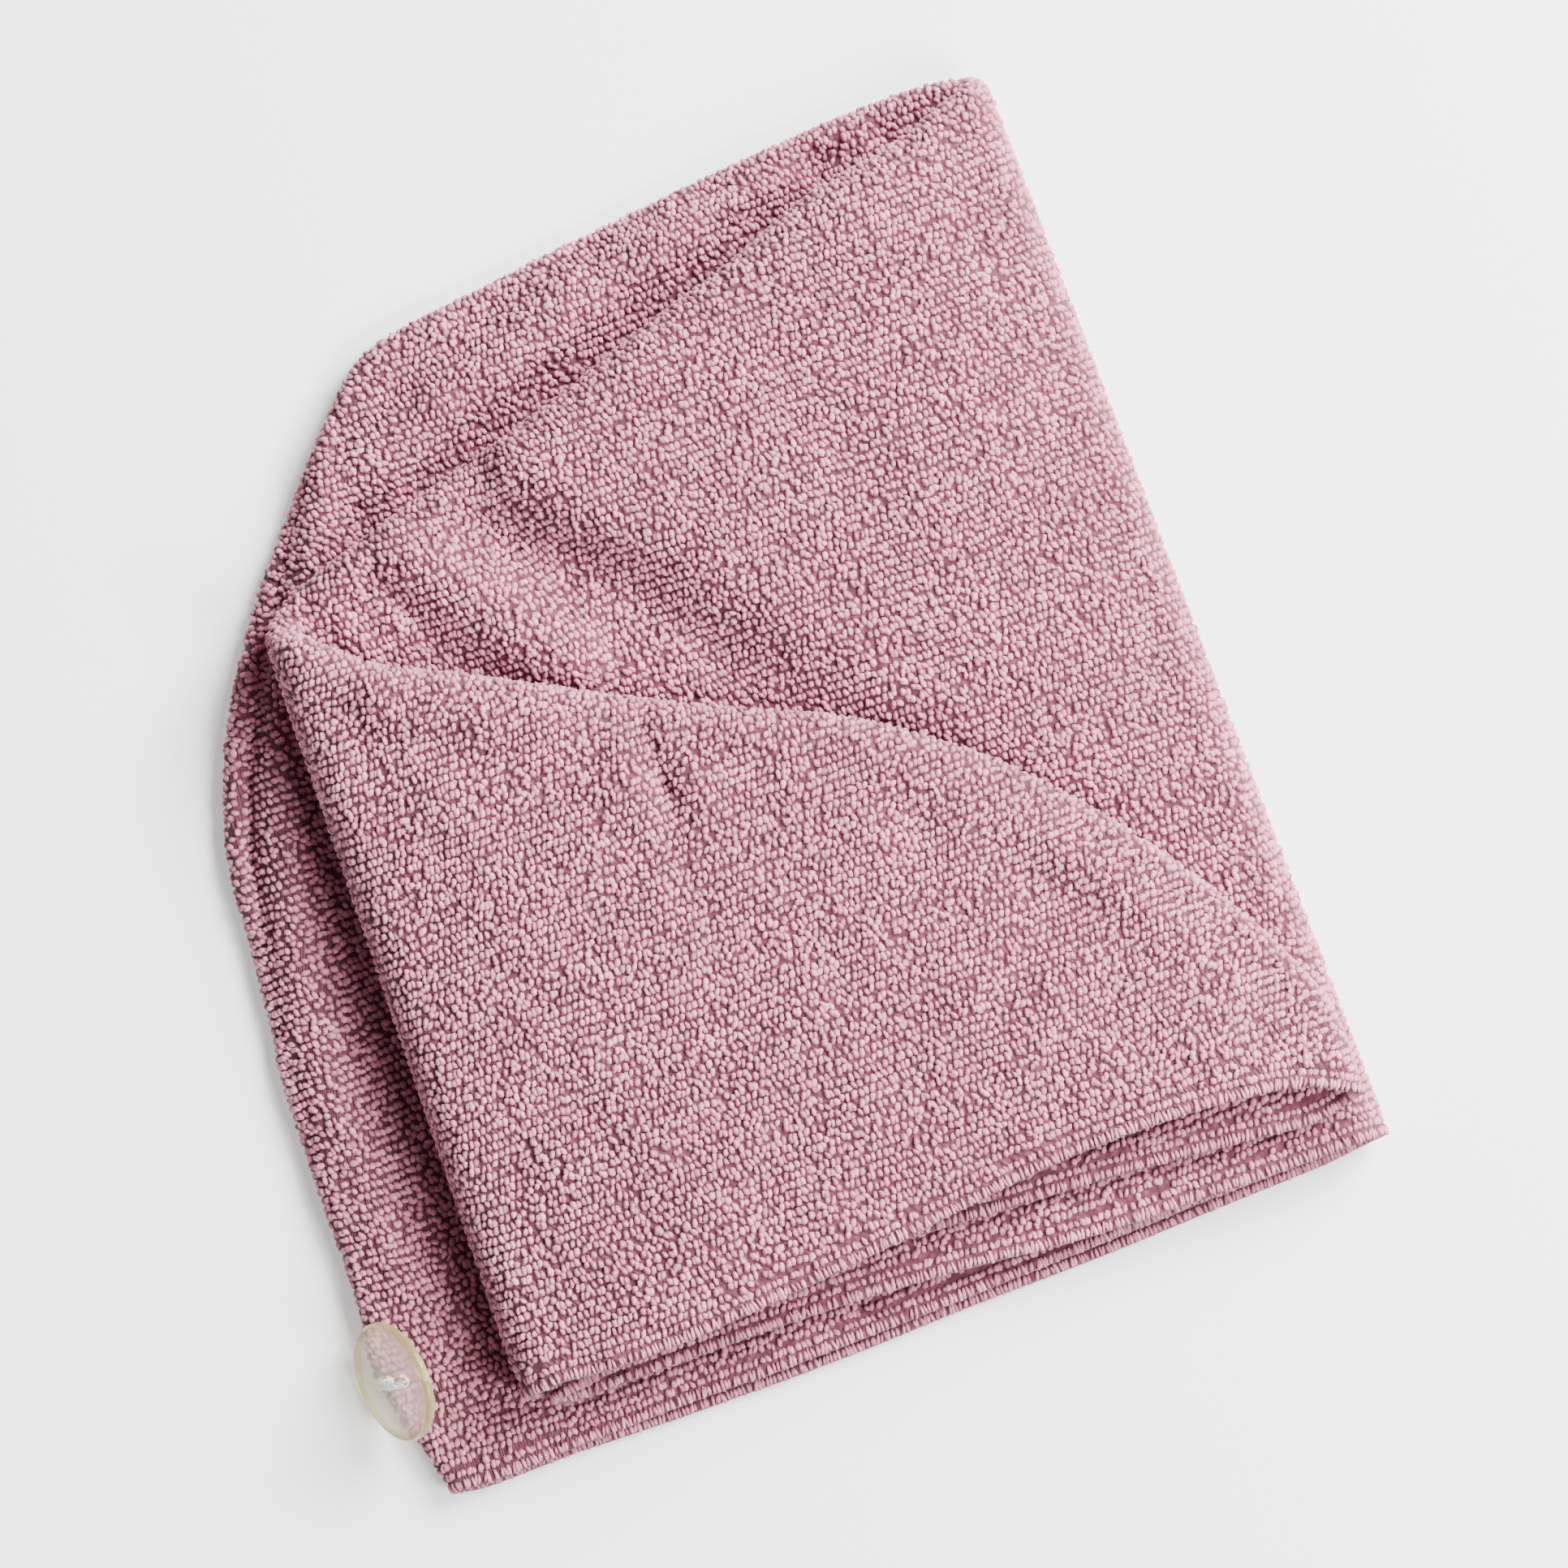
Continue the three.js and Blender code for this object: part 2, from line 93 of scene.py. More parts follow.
# How the loops that can be seen are told from the rest
SIGHT_AIMS = 6                       # looks aslant, besides the one straight out
SIGHT_SLANT = 0.8                    # of a look's run out to its run sideways
SIGHT_START = 0.45                   # from the ground
SIGHT_REACH = 400
SIGHT_FLOOR = (-400, 600)            # from and to, both ways

# Button and thread sizes
BUTTON_DIAMETER = 28
BUTTON_THICKNESS = 2.6
BUTTON_EDGE_ROUND = 1.15
DISH_DEPTH = 0.35
DISH_RIM = 1.9
DISH_SLOPE = 1.2
BACK_DISH = 0.15
BACK_DISH_WIDTH = 0.6                # of the button's diameter
RIM_LIGHT_INSET = 2.2                       # how far in from the edge the painted rim light begins, where light gathers in the thick rim
RIM_LIGHT_FADE = 1.6
HOLE_DIAMETER = 2.6
HOLE_SPACING = 8
BUTTON_TILT = 56
HOLE_TURN = 12
BUTTON_UP = 30
BUTTON_IN = 3.2
THREAD_DIAMETER = 1.8
THREAD_BEND = 1.6
THREAD_BOW = 0.2
THREAD_SPREAD = 2.6
STRANDS = 3
STRAND_RADIUS = 0.27                 # of the thread's diameter, as is the next
STRAND_OFF = 0.23
STRAND_LAY = 3.4                     # along the thread, for one turn of its strands
FIT_GAP = 0.3

# Faceting
BACK_STEPS = 72
FLAP_STEPS = 64
TAIL_STEPS = 68
TURN_STEPS = 14
END_STEPS = 5
ROWS_UP = 52
CAP_STEPS = 10
STEEPEST = 3.6
SLOPE_SHARE = 0.01
LEVEL_POINT = 4                      # up each column, where lengths along the towel are taken
BUTTON_SIDES = 96
EDGE_STEPS = 12
SHARP_ANGLE = 38                     # degrees, past which the button's edges aren't smoothed
HOLE_SIDES = 40
THREAD_STEPS = 150
CURVE_STEPS = 12                     # from one point of the thread's route to the next
STRAND_SIDES = 10

# Photograph
PHOTO_WIDTH = 348.9                  # millimetres across the picture, at half the towel's height
PHOTO_TURN = -21.0                   # degrees
PHOTO_CENTRE = (19.5, -5.8)
PHOTO_LEVEL = 12.5                   # that half height
CAMERA_HEIGHT = 2000
SENSOR_WIDTH = 36

# Studio sizes, in metres
CAMERA_SIGHT = 10
FLOOR_SIZE = 6
SOFTBOX_AWAY = 1.8


def table(columns, rows):
    """A short table, as one array for each of its named columns."""
    return dict(zip(columns.split(), np.array(rows, float).T))


NAPE_EDGE = table("up out", [
    (0.000, 0.00), (0.037, 0.30), (0.072, 0.65), (0.097, 0.90), (0.140, 1.00), (0.230, 0.74),
    (0.310, 0.65), (0.400, 0.55), (0.440, 0.30), (0.510, -0.08), (0.567, -0.37),
])

BACK_ROWS = table("along seam hem_under hem_over", [
    (0.000, 0.567, 0.006, 0.006),
    (0.017, 0.623, 0.002, 0.006),
    (0.044, 0.679, 0.000, 0.004),
    (0.083, 0.735, 0.000, 0.004),
    (0.131, 0.791, 0.000, 0.005),
    (0.190, 0.847, -0.002, 0.006),
    (0.253, 0.903, -0.004, 0.006),
    (0.313, 0.949, -0.005, 0.005),
    (0.356, 0.963, -0.006, 0.004),
    (0.457, 0.972, -0.006, 0.004),
    (0.558, 0.981, -0.004, 0.005),
    (0.709, 0.991, -0.004, 0.007),
    (0.853, 0.999, -0.001, 0.009),
    (0.962, 1.000, 0.001, 0.009),
    (1.000, 0.995, 0.004, 0.010),
])

FLAP_ROWS = table("along seam hem_under hem_over", [
    (0.00, 0.982, 0.010, 0.012),
    (0.10, 0.959, 0.011, 0.015),
    (0.22, 0.945, 0.014, 0.019),
    (0.35, 0.913, 0.018, 0.024),
    (0.47, 0.890, 0.028, 0.033),
    (0.59, 0.863, 0.036, 0.040),
    (0.72, 0.838, 0.041, 0.045),
    (0.85, 0.815, 0.043, 0.048),
    (1.00, 0.784, 0.045, 0.055),
])

TAIL_ROWS = table("along seam hem_under hem_over", [
    (0.00, 0.742, 0.052, 0.066),
    (0.07, 0.700, 0.058, 0.061),
    (0.16, 0.667, 0.066, 0.061),
    (0.24, 0.636, 0.072, 0.064),
    (0.35, 0.594, 0.076, 0.070),
    (0.47, 0.551, 0.072, 0.079),
    (0.58, 0.514, 0.066, 0.087),
    (0.66, 0.476, 0.062, 0.091),
    (0.76, 0.414, 0.055, 0.091),
    (0.86, 0.328, 0.047, 0.085),
    (0.94, 0.240, 0.041, 0.074),
    (1.00, 0.150, 0.050, 0.050),
])

FLAP_FORM = table("along hem low middle high crown", [
    (0.00, 0.00, 0.00, 0.20, 0.60, 0.60),
    (0.30, 0.00, 0.00, 0.30, 0.90, 0.85),
    (0.50, 0.00, 0.00, 0.45, 1.00, 0.85),
    (0.70, 0.00, 0.05, 0.60, 1.00, 0.80),
    (0.88, 0.00, 0.10, 0.60, 0.95, 0.75),
    (1.00, 0.00, 0.05, 0.20, 0.25, 0.20),
])

TAIL_FORM = table("along hem low middle high crown", [
    (0.00, 0.30, 0.40, 0.50, 0.60, 0.65),
    (0.12, 0.60, 0.90, 0.85, 0.95, 0.85),
    (0.35, 0.80, 0.95, 1.00, 1.00, 0.70),
    (0.60, 0.90, 1.00, 1.00, 0.90, 0.55),
    (0.85, 0.85, 0.90, 0.85, 0.65, 0.35),
    (1.00, 0.25, 0.25, 0.20, 0.15, 0.10),
])

# The edge of the hollow that the flap sinks to beside the tail's seam, and how high the tail's
# under ply rests above the flap's own plies
HOLLOW_EDGE = table("up x", [
    (60, 206), (90, 190), (112, 171), (129, 154), (150, 135), (179, 115), (197, 97), (222, 80),
    (250, 60),
])
TAIL_REST = table("along rise", [
    (0.00, 0.6), (0.20, 1.4), (0.35, 1.8), (0.60, 2.0), (0.80, 1.8), (1.00, 1.0),
])

# Half of the cloth's thickness under its loops, by the distance from the hem: a rolled edge, a
# groove where it is sewn, and then the plain ground
HEM_SECTION = table("from_hem half", [
    (0.0, 0.35), (0.5, 0.90), (1.1, 1.20), (1.8, 1.28), (2.5, 1.10), (3.1, 0.72), (3.7, 0.60),
    (4.6, 0.85), (6.0, 0.95),
])

# Folds pressed into the upper ply of a layer: a line from one point to another, the reach of the
# fold on each side of it, and how far it rises, or sinks where it is negative
FOLD_COLUMNS = "x1 y1 x2 y2 reach rise"
BACK_FOLDS = table(FOLD_COLUMNS, [
    (54, 232, 42, 213, 2.0, -2.4),
    (42, 213, 31, 196, 2.0, -2.4),
    (31, 196, 17, 172, 2.0, -2.4),
    (17, 172, 10, 154, 2.0, -2.4),
    (10, 154, 5, 132, 2.0, -2.2),
    (5, 132, 1, 110, 2.0, -2.0),
    (1, 110, -2, 84, 2.0, -1.4),
    (59, 228, 24, 172, 4.5, 2.6),
    (24, 172, 12, 132, 4.5, 2.6),
    (12, 132, 6, 88, 4.5, 2.2),
    (6, 88, 6, 50, 4.5, 1.4),
    (64, 223, 84, 230, 7.0, 4.0),
    (84, 230, 125, 240, 6.5, 5.6),
    (125, 240, 150, 246, 5.5, 5.0),
    (150, 246, 172, 251, 4.5, 4.0),
    (95, 248, 141, 251.5, 1.6, -1.4),
    (141, 251.5, 172, 253.5, 1.6, -1.4),
    (181, 248, 184, 250, 3.0, -3.0),
    (198, 251, 200, 252, 1.8, -2.2),
    (65, 236, 80, 238, 6.0, 0.8),
])
FLAP_FOLDS = table(FOLD_COLUMNS, [
    (65, 202, 89, 167, 8.5, 6.0),
    (50, 202, 68, 207, 5.0, 4.0),
    (68, 207, 90, 214, 5.0, 4.5),
    (56, 195, 66, 180, 4.5, -1.2),
    (66, 180, 80, 166, 4.5, -1.2),
    (51, 203, 59, 188, 3.2, 2.8),
    (45, 200, 49, 184, 2.2, 2.0),
])
TAIL_FOLDS = table(FOLD_COLUMNS, [
    (36, 190, 50, 172, 6.0, 2.4),
    (46, 175, 84, 153, 7.0, 1.4),
    (84, 153, 124, 137, 6.0, 1.4),
    (124, 137, 152, 120, 6.0, 1.4),
    (152, 120, 178, 90, 6.0, 1.6),
    (178, 90, 198, 56, 6.0, 1.2),
    (100.6, 150, 101, 131, 2.6, -1.9),
    (101, 131, 98, 114, 3.2, -1.0),
    (94, 151, 95, 125, 4.0, 0.9),
    (107, 150, 108, 124, 4.0, 0.8),
    (170, 82, 186, 64, 16.0, -1.3),
    (40, 55, 54, 44, 12.0, -1.0),
])


def mix(a, b, share):
    return a + (b - a) * share


def read(rows, column, key, at):
    """A column of a table at any place along it, on a smooth curve through its rows."""
    place = rows[key]
    value = rows[column]
    last = len(place) - 1
    before = np.maximum(np.arange(last + 1) - 1, 0)
    after = np.minimum(np.arange(last + 1) + 1, last)
    slope = (value[after] - value[before]) / (place[after] - place[before])
    at = np.clip(at, place[0], place[-1])
    i = np.clip(np.searchsorted(place, at) - 1, 0, last - 1)
    span = place[i + 1] - place[i]
    s = (at - place[i]) / span
    return (
        (1 + 2 * s) * (1 - s) ** 2 * value[i]
        + s * (1 - s) ** 2 * span * slope[i]
        + s * s * (3 - 2 * s) * value[i + 1]
        - s * s * (1 - s) * span * slope[i + 1]
    )


def read_form(rows, along, up):
    """A form table, read at a share along and a share up."""
    heights = np.array([read(rows, name, "along", along)
                        for name in ("hem", "low", "middle", "high", "crown")])
    place = np.clip(up, 0, 1) * 4
    i = np.minimum(place.astype(int), 3)
    s = np.clip(place - i, 0, 1)
    s = s * s * (3 - 2 * s)
    heights = np.broadcast_to(heights.reshape(5, -1), (5, place.size))
    n = np.arange(place.size)
    return mix(heights[i, n], heights[i + 1, n], s)


def folds(rows, x, y):
    """How far the folds of a table lift a ply at a point: the highest of its ridges and the
    deepest of its valleys there."""
    ridge = np.zeros(np.broadcast(x, y).shape)
    valley = ridge
    for x1, y1, x2, y2, reach, rise in zip(*(rows[name] for name in FOLD_COLUMNS.split())):
        run_x = x2 - x1
        run_y = y2 - y1
        share = ((x - x1) * run_x + (y - y1) * run_y) / (run_x ** 2 + run_y ** 2)
        share = np.clip(share, 0, 1)
        away = np.hypot(x - x1 - share * run_x, y - y1 - share * run_y)
        lift = rise * np.exp(-((away / reach) ** 2))
        ridge = np.maximum(ridge, lift)
        valley = np.minimum(valley, lift)
    return ridge + valley


# Lines that the layers are laid out between
FOLD_DEPTH = PLY / 2 + PLY + PLY_GAP + (PLY + LAY_GAP) / 2
RIGHT_TURN = FOLDED_WIDTH - FOLD_DEPTH
TAIL_END = FOLDED_WIDTH - TAIL_END_INSET
BACK_UNDER = PLY / 2
BACK_OVER = BACK_UNDER + PLY + PLY_GAP
FLAP_OVER = BACK_OVER + PLY + LAY_GAP


def nape_x(y):
    return -NAPE_BULGE * read(NAPE_EDGE, "out", "up", y / HOOD_HEIGHT)


def left_turn(y):
    return mix(ROLL_INSET_HEM, ROLL_INSET_TOP, y / HOOD_HEIGHT) + ROLL_DEPTH


def rumple(x, y):
    """The slight unevenness of a soft ply, as waves that cross and bend one another."""
    wide = np.sin(x / 6.1 + 1.6 * np.sin(y / 11.3)) * np.sin(y / 7.3 + 1.5 * np.sin(x / 9.7) + 1)
    close = np.sin(x / 3.3 - y / 8.9 + 2 * np.sin(y / 13.7)) * np.sin(y / 3.9 + x / 10.3 + 2)
    return RUMPLE * (wide + 0.5 * close) / 1.5


def tail_share(x, y):
    """How far along the tail a point lies, from its fold to its end."""
    return (x - left_turn(y)) / (TAIL_END - left_turn(y))


def back_over(x, y):
    return BACK_OVER + folds(BACK_FOLDS, x, y) + rumple(x, y)


def flap_loft(x, y):
    """How far the flap's plies spring apart: a hollow on the left, no more than lets the tail
    rest where that lies over it, and the full loft elsewhere."""
    edge = np.interp(y, HOLLOW_EDGE["up"], HOLLOW_EDGE["x"])
    climb = np.clip((x - edge) * HOLLOW_SLANT / HOLLOW_WIDTH + 0.5, 0, 1)
    climb = mix(HOLLOW_FLOOR, 1, climb * climb * (3 - 2 * climb))
    form = read_form(FLAP_FORM, x / FOLDED_WIDTH, y / HOOD_HEIGHT)
    loft = FLAP_LOFT * form * climb + folds(FLAP_FOLDS, x, y)
    share = np.clip(tail_share(x, y), 0, 1)
    seam = HOOD_HEIGHT * read(TAIL_ROWS, "seam", "along", share)
    most = read(TAIL_REST, "rise", "along", share) + COVER_SLOPE * np.maximum(y - seam, 0)
    return np.minimum(loft, most)


def flap_under(x, y):
    return FLAP_OVER + PLY + PLY_GAP + flap_loft(x, y) + rumple(x + 70, y) * 0.5


def tail_under(x, y):
    rest = read(TAIL_REST, "rise", "along", np.clip(tail_share(x, y), 0, 1))
    return FLAP_OVER + PLY + PLY_GAP + rest + PLY + LAY_GAP


def tail_over(x, y, along):
    seam = HOOD_HEIGHT * read(TAIL_ROWS, "seam", "along", along)
    loft = TAIL_LOFT * read_form(TAIL_FORM, along, y / seam)
    return tail_under(x, y) + PLY + PLY_GAP + loft + folds(TAIL_FOLDS, x, y) + rumple(x, y + 50)


# The middles of the under and over plies at heights y, on a column of one of the layers: the x of
# each and its height. The under ply lies lowest in the back half, on top in the flap.
def back_pair(along, y):
    x = mix(nape_x(y), RIGHT_TURN, along)
    return x, np.full_like(y, BACK_UNDER), x, back_over(x, y)


def right_turn_pair(angle, y):
    reach = FOLD_DEPTH - PLY / 2
    x = np.full_like(y, RIGHT_TURN)
    rise = (flap_under(x, y) - BACK_UNDER) / 2
    inner = (FLAP_OVER - BACK_OVER) / 2
    return (
        x + reach * math.sin(angle), BACK_UNDER + rise * (1 - math.cos(angle)),
        x + inner * math.sin(angle), np.full_like(y, BACK_OVER + inner * (1 - math.cos(angle))),
    )


def flap_pair(along, y):
    x = mix(RIGHT_TURN, left_turn(y), along)
    return x, flap_under(x, y), x, np.full_like(y, FLAP_OVER)


def left_turn_pair(angle, y):
    x = left_turn(y)
    low = flap_under(x, y)
    inner = (tail_under(x, y) - low) / 2
    rise = (tail_over(x, y, 0.0) - FLAP_OVER) / 2
    reach = ROLL_DEPTH - PLY / 2
    return (
        x - inner * math.sin(angle), low + inner * (1 - math.cos(angle)),
        x - reach * math.sin(angle), FLAP_OVER + rise * (1 - math.cos(angle)),
    )


def tail_pair(along, y):
    x = mix(left_turn(y), TAIL_END, along)
    return x, tail_under(x, y), x, tail_over(x, y, along)


def end_pair(pair, away, angle):
    """A column where the two plies meet in a round end, whose very end is at 90 degrees."""
    def at(y):
        x, under, _, over = pair(y)
        half = (over - under) / 2
        x = x + away * half * math.sin(angle)
        middle = (over + under) / 2
        stand = half * math.cos(angle)
        return x, middle - stand, x, middle + stand
    return at


def towel_columns():
    """Every column of the towel, from the nape edge round both folds to the tail's end."""
    columns = []

    def add(rows, width, along, pair):
        def height(name, at=along):
            return float(HOOD_HEIGHT * read(rows, name, "along", at))
        before = max(along - SLOPE_SHARE, 0)
        after = min(along + SLOPE_SHARE, 1)
        climb = (height("seam", after) - height("seam", before)) / (after - before)
        stretch = min(math.hypot(1, climb / width), STEEPEST)
        columns.append((height("seam"), height("hem_under"), height("hem_over"), stretch, pair))

    def add_turn(start, end, pair_at):
        for i in range(1, TURN_STEPS):
            share = i / TURN_STEPS
            seam, under, over = (
                HOOD_HEIGHT * mix(start[name][-1], end[name][0], share)
                for name in ("seam", "hem_under", "hem_over")
            )
            columns.append((seam, under, over, 1.0, lambda y, a=math.pi * share: pair_at(a, y)))

    ends = [math.pi / 2 * (1 - i / END_STEPS) for i in range(END_STEPS)]
    edge = (PLY + PLY_GAP + PLY) / 2
    width = RIGHT_TURN - float(nape_x(0.0))
    first = edge / width
    for angle in ends:
        pair = end_pair(lambda y: back_pair(first, y), -1, angle)
        add(BACK_ROWS, width, first * (1 - math.sin(angle)), pair)
    for along in np.linspace(first, 1, BACK_STEPS):
        add(BACK_ROWS, width, along, lambda y, a=along: back_pair(a, y))
    add_turn(BACK_ROWS, FLAP_ROWS, right_turn_pair)
    for along in np.linspace(0, 1, FLAP_STEPS):
        add(FLAP_ROWS, RIGHT_TURN - left_turn(0), along, lambda y, a=along: flap_pair(a, y))
    add_turn(FLAP_ROWS, TAIL_ROWS, left_turn_pair)
    width = TAIL_END - left_turn(0)
    last = 1 - edge / width
    for along in np.linspace(0, last, TAIL_STEPS):
        add(TAIL_ROWS, width, along, lambda y, a=along: tail_pair(a, y))
    for angle in reversed(ends):
        pair = end_pair(lambda y: tail_pair(last, y), 1, angle)
        add(TAIL_ROWS, width, mix(last, 1, math.sin(angle)), pair)
    return columns


def column_points(seam, hem_under, hem_over, stretch, pair):
    """One column down the middle of the cloth, from the under ply's hem round the seam to the
    over ply's hem, and each point's distance from its own hem."""
    x1, z1, x2, z2 = pair(np.array([seam]))
    half = 0.5 * math.hypot(float(x2[0] - x1[0]), float(z2[0] - z1[0]))
    top = seam - (PLY / 2 + half) * stretch
    near = HEM_SECTION["from_hem"]

    def heights(hem):
        rest = np.linspace(hem + near[-1], top, ROWS_UP + 1)[1:-1]
        return np.concatenate([hem + near, rest])

    up = heights(hem_under)
    down = heights(hem_over)[::-1]
    ux, uz, _, _ = pair(up)
    _, _, ox, oz = pair(down)
    tx, tz, bx, bz = pair(np.full(1, top))
    angle = np.linspace(0, math.pi, CAP_STEPS + 1)
    share = (1 - np.cos(angle)) / 2
    x = np.concatenate([ux, mix(tx, bx, share), ox])
    y = np.concatenate([up, top + half * stretch * np.sin(angle), down])
    z = np.concatenate([uz, mix(tz, bz, share), oz])
    from_hem = np.concatenate([
        up - hem_under, np.full(CAP_STEPS + 1, top - max(hem_under, hem_over)), down - hem_over])
    return np.column_stack([x, y, z]), from_hem


def unit(v):
    return v / np.maximum(np.linalg.norm(v, axis=-1, keepdims=True), 1e-12)


def lengths(points):
    """How far along its line each point lies."""
    steps = np.cumsum(np.linalg.norm(np.diff(points, axis=-2), axis=-1), axis=-1)
    return np.concatenate([np.zeros_like(steps[..., :1]), steps], axis=-1)


class Towel:
    """The cloth as a grid down its middle, with the directions and thickness to build on it."""

    def __init__(self):
        made = [column_points(*column) for column in towel_columns()]
        self.grid = np.array([points for points, _ in made])
        self.from_hem = np.array([distance for _, distance in made])
        across, down, _ = self.grid.shape
        flat = self.grid.reshape(-1, 3)
        _, keep, self.point = np.unique(
            np.round(flat, 3), axis=0, return_index=True, return_inverse=True)
        self.point = self.point.reshape(across, down)
        self.middle = flat[keep]
        self.far = self.from_hem.reshape(-1)[keep]
        self.half = np.interp(self.far, HEM_SECTION["from_hem"], HEM_SECTION["half"])
        a = self.point[:-1, :-1].ravel()
        b = self.point[1:, :-1].ravel()
        c = self.point[:-1, 1:].ravel()
        d = self.point[1:, 1:].ravel()
        faces = np.concatenate([np.column_stack([a, b, c]), np.column_stack([b, d, c])])
        real = ((faces[:, 0] != faces[:, 1]) & (faces[:, 1] != faces[:, 2])
                & (faces[:, 2] != faces[:, 0]))
        self.faces = faces[real]
        self.normal = self.directions()

    def directions(self):
        """Each point's direction out of the cloth, weighted by the angles of its faces."""
        corner = self.middle[self.faces]
        flat = unit(np.cross(corner[:, 1] - corner[:, 0], corner[:, 2] - corner[:, 0]))
        total = np.zeros_like(self.middle)
        for n in range(3):
            one = unit(corner[:, (n + 1) % 3] - corner[:, n])
            two = unit(corner[:, (n + 2) % 3] - corner[:, n])
            angle = np.arccos(np.clip((one * two).sum(1), -1, 1))
            np.add.at(total, self.faces[:, n], flat * angle[:, None])
        return unit(total)

    def side(self, sign):
        """One face of the ground: the grid of its points and of their directions."""
        points = self.middle + sign * self.normal * self.half[:, None]
        return points[self.point], sign * self.normal[self.point]

    def wall(self):
        """The corners and triangles of the closed ground."""
        count = len(self.middle)
        corners = np.concatenate([
            self.middle + self.normal * self.half[:, None],
            self.middle - self.normal * self.half[:, None],
        ])
        faces = self.faces
        edges = np.concatenate([faces[:, [0, 1]], faces[:, [1, 2]], faces[:, [2, 0]]])
        code = edges[:, 0] * count + edges[:, 1]
        back = edges[:, 1] * count + edges[:, 0]
        rim = edges[~np.isin(code, back)]
        skirt = np.concatenate([
            np.column_stack([rim[:, 1], rim[:, 0], rim[:, 0] + count]),
            np.column_stack([rim[:, 1], rim[:, 0] + count, rim[:, 1] + count]),
        ])
        return corners, np.concatenate([faces, faces[:, [0, 2, 1]] + count, skirt])


def into_part(points):
    """Points on the shaping axes, in millimetres, as the part's frame has them, in metres."""
    return (np.asarray(points) + [*NAPE_CORNER, 0]) * MM


def new_mesh(name, corners, faces):
    mesh = bpy.data.meshes.new(name)
    mesh.from_pydata(corners.tolist(), [], faces)
    mesh.polygons.foreach_set("use_smooth", np.ones(len(mesh.polygons), bool))
    mesh.update()
    return mesh


def new_piece(name, mesh, material):
    piece = bpy.data.objects.new(name, mesh)
    bpy.context.scene.collection.objects.link(piece)
    mesh.materials.append(material)
    return piece


def place_loops(grid, direction, pitch, rows, rng, on_hem=False):
    """Where loops stand on one face of one ply, whose grid and directions run column by column
    from the hem up. The rows are level, at the given heights, or on the hem follow it at the
    given distances. Gives points, directions, the way along the row, and columns."""
    across, down, _ = grid.shape
    hem = grid[:, 0, 1]
    along = lengths(grid[:, LEVEL_POINT])
    up = lengths(grid)
    wander = 0 if on_hem else ROW_WANDER
    s, t = np.meshgrid(np.arange(pitch / 2, along[-1], pitch), rows)
    s = (s + (np.arange(len(rows)) % 2)[:, None] * pitch / 2).ravel()
    t = t.ravel()

    # rows wave, and patches of them stand looser than others
    drift = wander * (np.sin(s / 9.7 + t / 23) + np.sin(s / 17.3 - t / 14 + 1))
    shake = wander * (np.sin(t / 7.9 + s / 31) + np.sin(s / 11.9 + t / 10.3 + 2))
    loose = 0.16 + 0.14 * (np.sin(s / 6.3 + t / 9.1) * np.sin(s / 8.9 - t / 5.7) > -0.2)
    s = np.clip(s + shake + rng.normal(0, 1, s.size) * loose, 0, along[-1] - 1e-6)
    t = t + drift + rng.normal(0, 1, s.size) * loose * (not on_hem)

    column = np.interp(s, along, np.arange(across))
    i = np.minimum(column.astype(int), across - 2)
    part = column - i
    climb = t if on_hem else t - mix(hem[i], hem[i + 1], part)
    point = np.full(s.size, -1.0)
    for k in range(across - 1):
        here = np.nonzero(i == k)[0]
        if here.size:
            one, two = (np.interp(climb[here], up[n], np.arange(down), left=-1, right=-1)
                        for n in (k, k + 1))
            real = (one >= 0) & (two >= 0)
            point[here] = np.where(real, mix(one, two, part[here]), -1)
    real = (point >= 0) & (climb > (0 if on_hem else HEM_CLEAR))
    i, point, part = i[real], point[real], part[real][:, None]
    j = np.clip(point.astype(int), 0, down - 2)
    rest = (point - j)[:, None]

    def at(field):
        low = mix(field[i, j], field[i + 1, j], part)
        high = mix(field[i, j + 1], field[i + 1, j + 1], part)
        return mix(low, high, rest)

    return at(grid), unit(at(direction)), unit(grid[i + 1, j] - grid[i, j]), i


def fill_gaps(towel, tree, standing, rng):
    """More loops where the rows leave the ground bare, as where it turns steeply into a seam."""
    corners, faces = towel.wall()
    far = np.concatenate([towel.far, towel.far])
    faces = faces[(far[faces] > HEM_CLEAR).all(1)]
    one, two, three = (corners[faces[:, n]] for n in range(3))
    normal = np.cross(two - one, three - one)
    seen = in_sight(tree, (one + two + three) / 3, unit(normal))
    one, two, three, normal = one[seen], two[seen], three[seen], normal[seen]
    area = np.linalg.norm(normal, axis=1) / 2
    tries = int(area.sum() / FILL_SPACING ** 2 * FILL_TRIES)
    pick = rng.choice(len(area), tries, p=area / area.sum())
    a, b = rng.random((2, tries))
    fold = a + b > 1
    a = np.where(fold, 1 - a, a)[:, None]
    b = np.where(fold, 1 - b, b)[:, None]
    spots = one[pick] + (two - one)[pick] * a + (three - one)[pick] * b
    facing = unit(normal[pick])

    cells = {}

    def cell(spot):
        return tuple((spot // FILL_SPACING).astype(int))

    for spot in standing:
        cells.setdefault(cell(spot), []).append(spot)
    kept = []
    for n, spot in enumerate(spots):
        x, y, z = cell(spot)
        near = [other for i in (-1, 0, 1) for j in (-1, 0, 1) for k in (-1, 0, 1)
                for other in cells.get((x + i, y + j, z + k), ())]
        if not near or ((np.array(near) - spot) ** 2).sum(1).min() > FILL_SPACING ** 2:
            cells.setdefault((x, y, z), []).append(spot)
            kept.append(n)
    across = unit(np.cross(np.cross(facing[kept], [1.0, 0.0, 0.0]), facing[kept]))
    return spots[kept], facing[kept], across


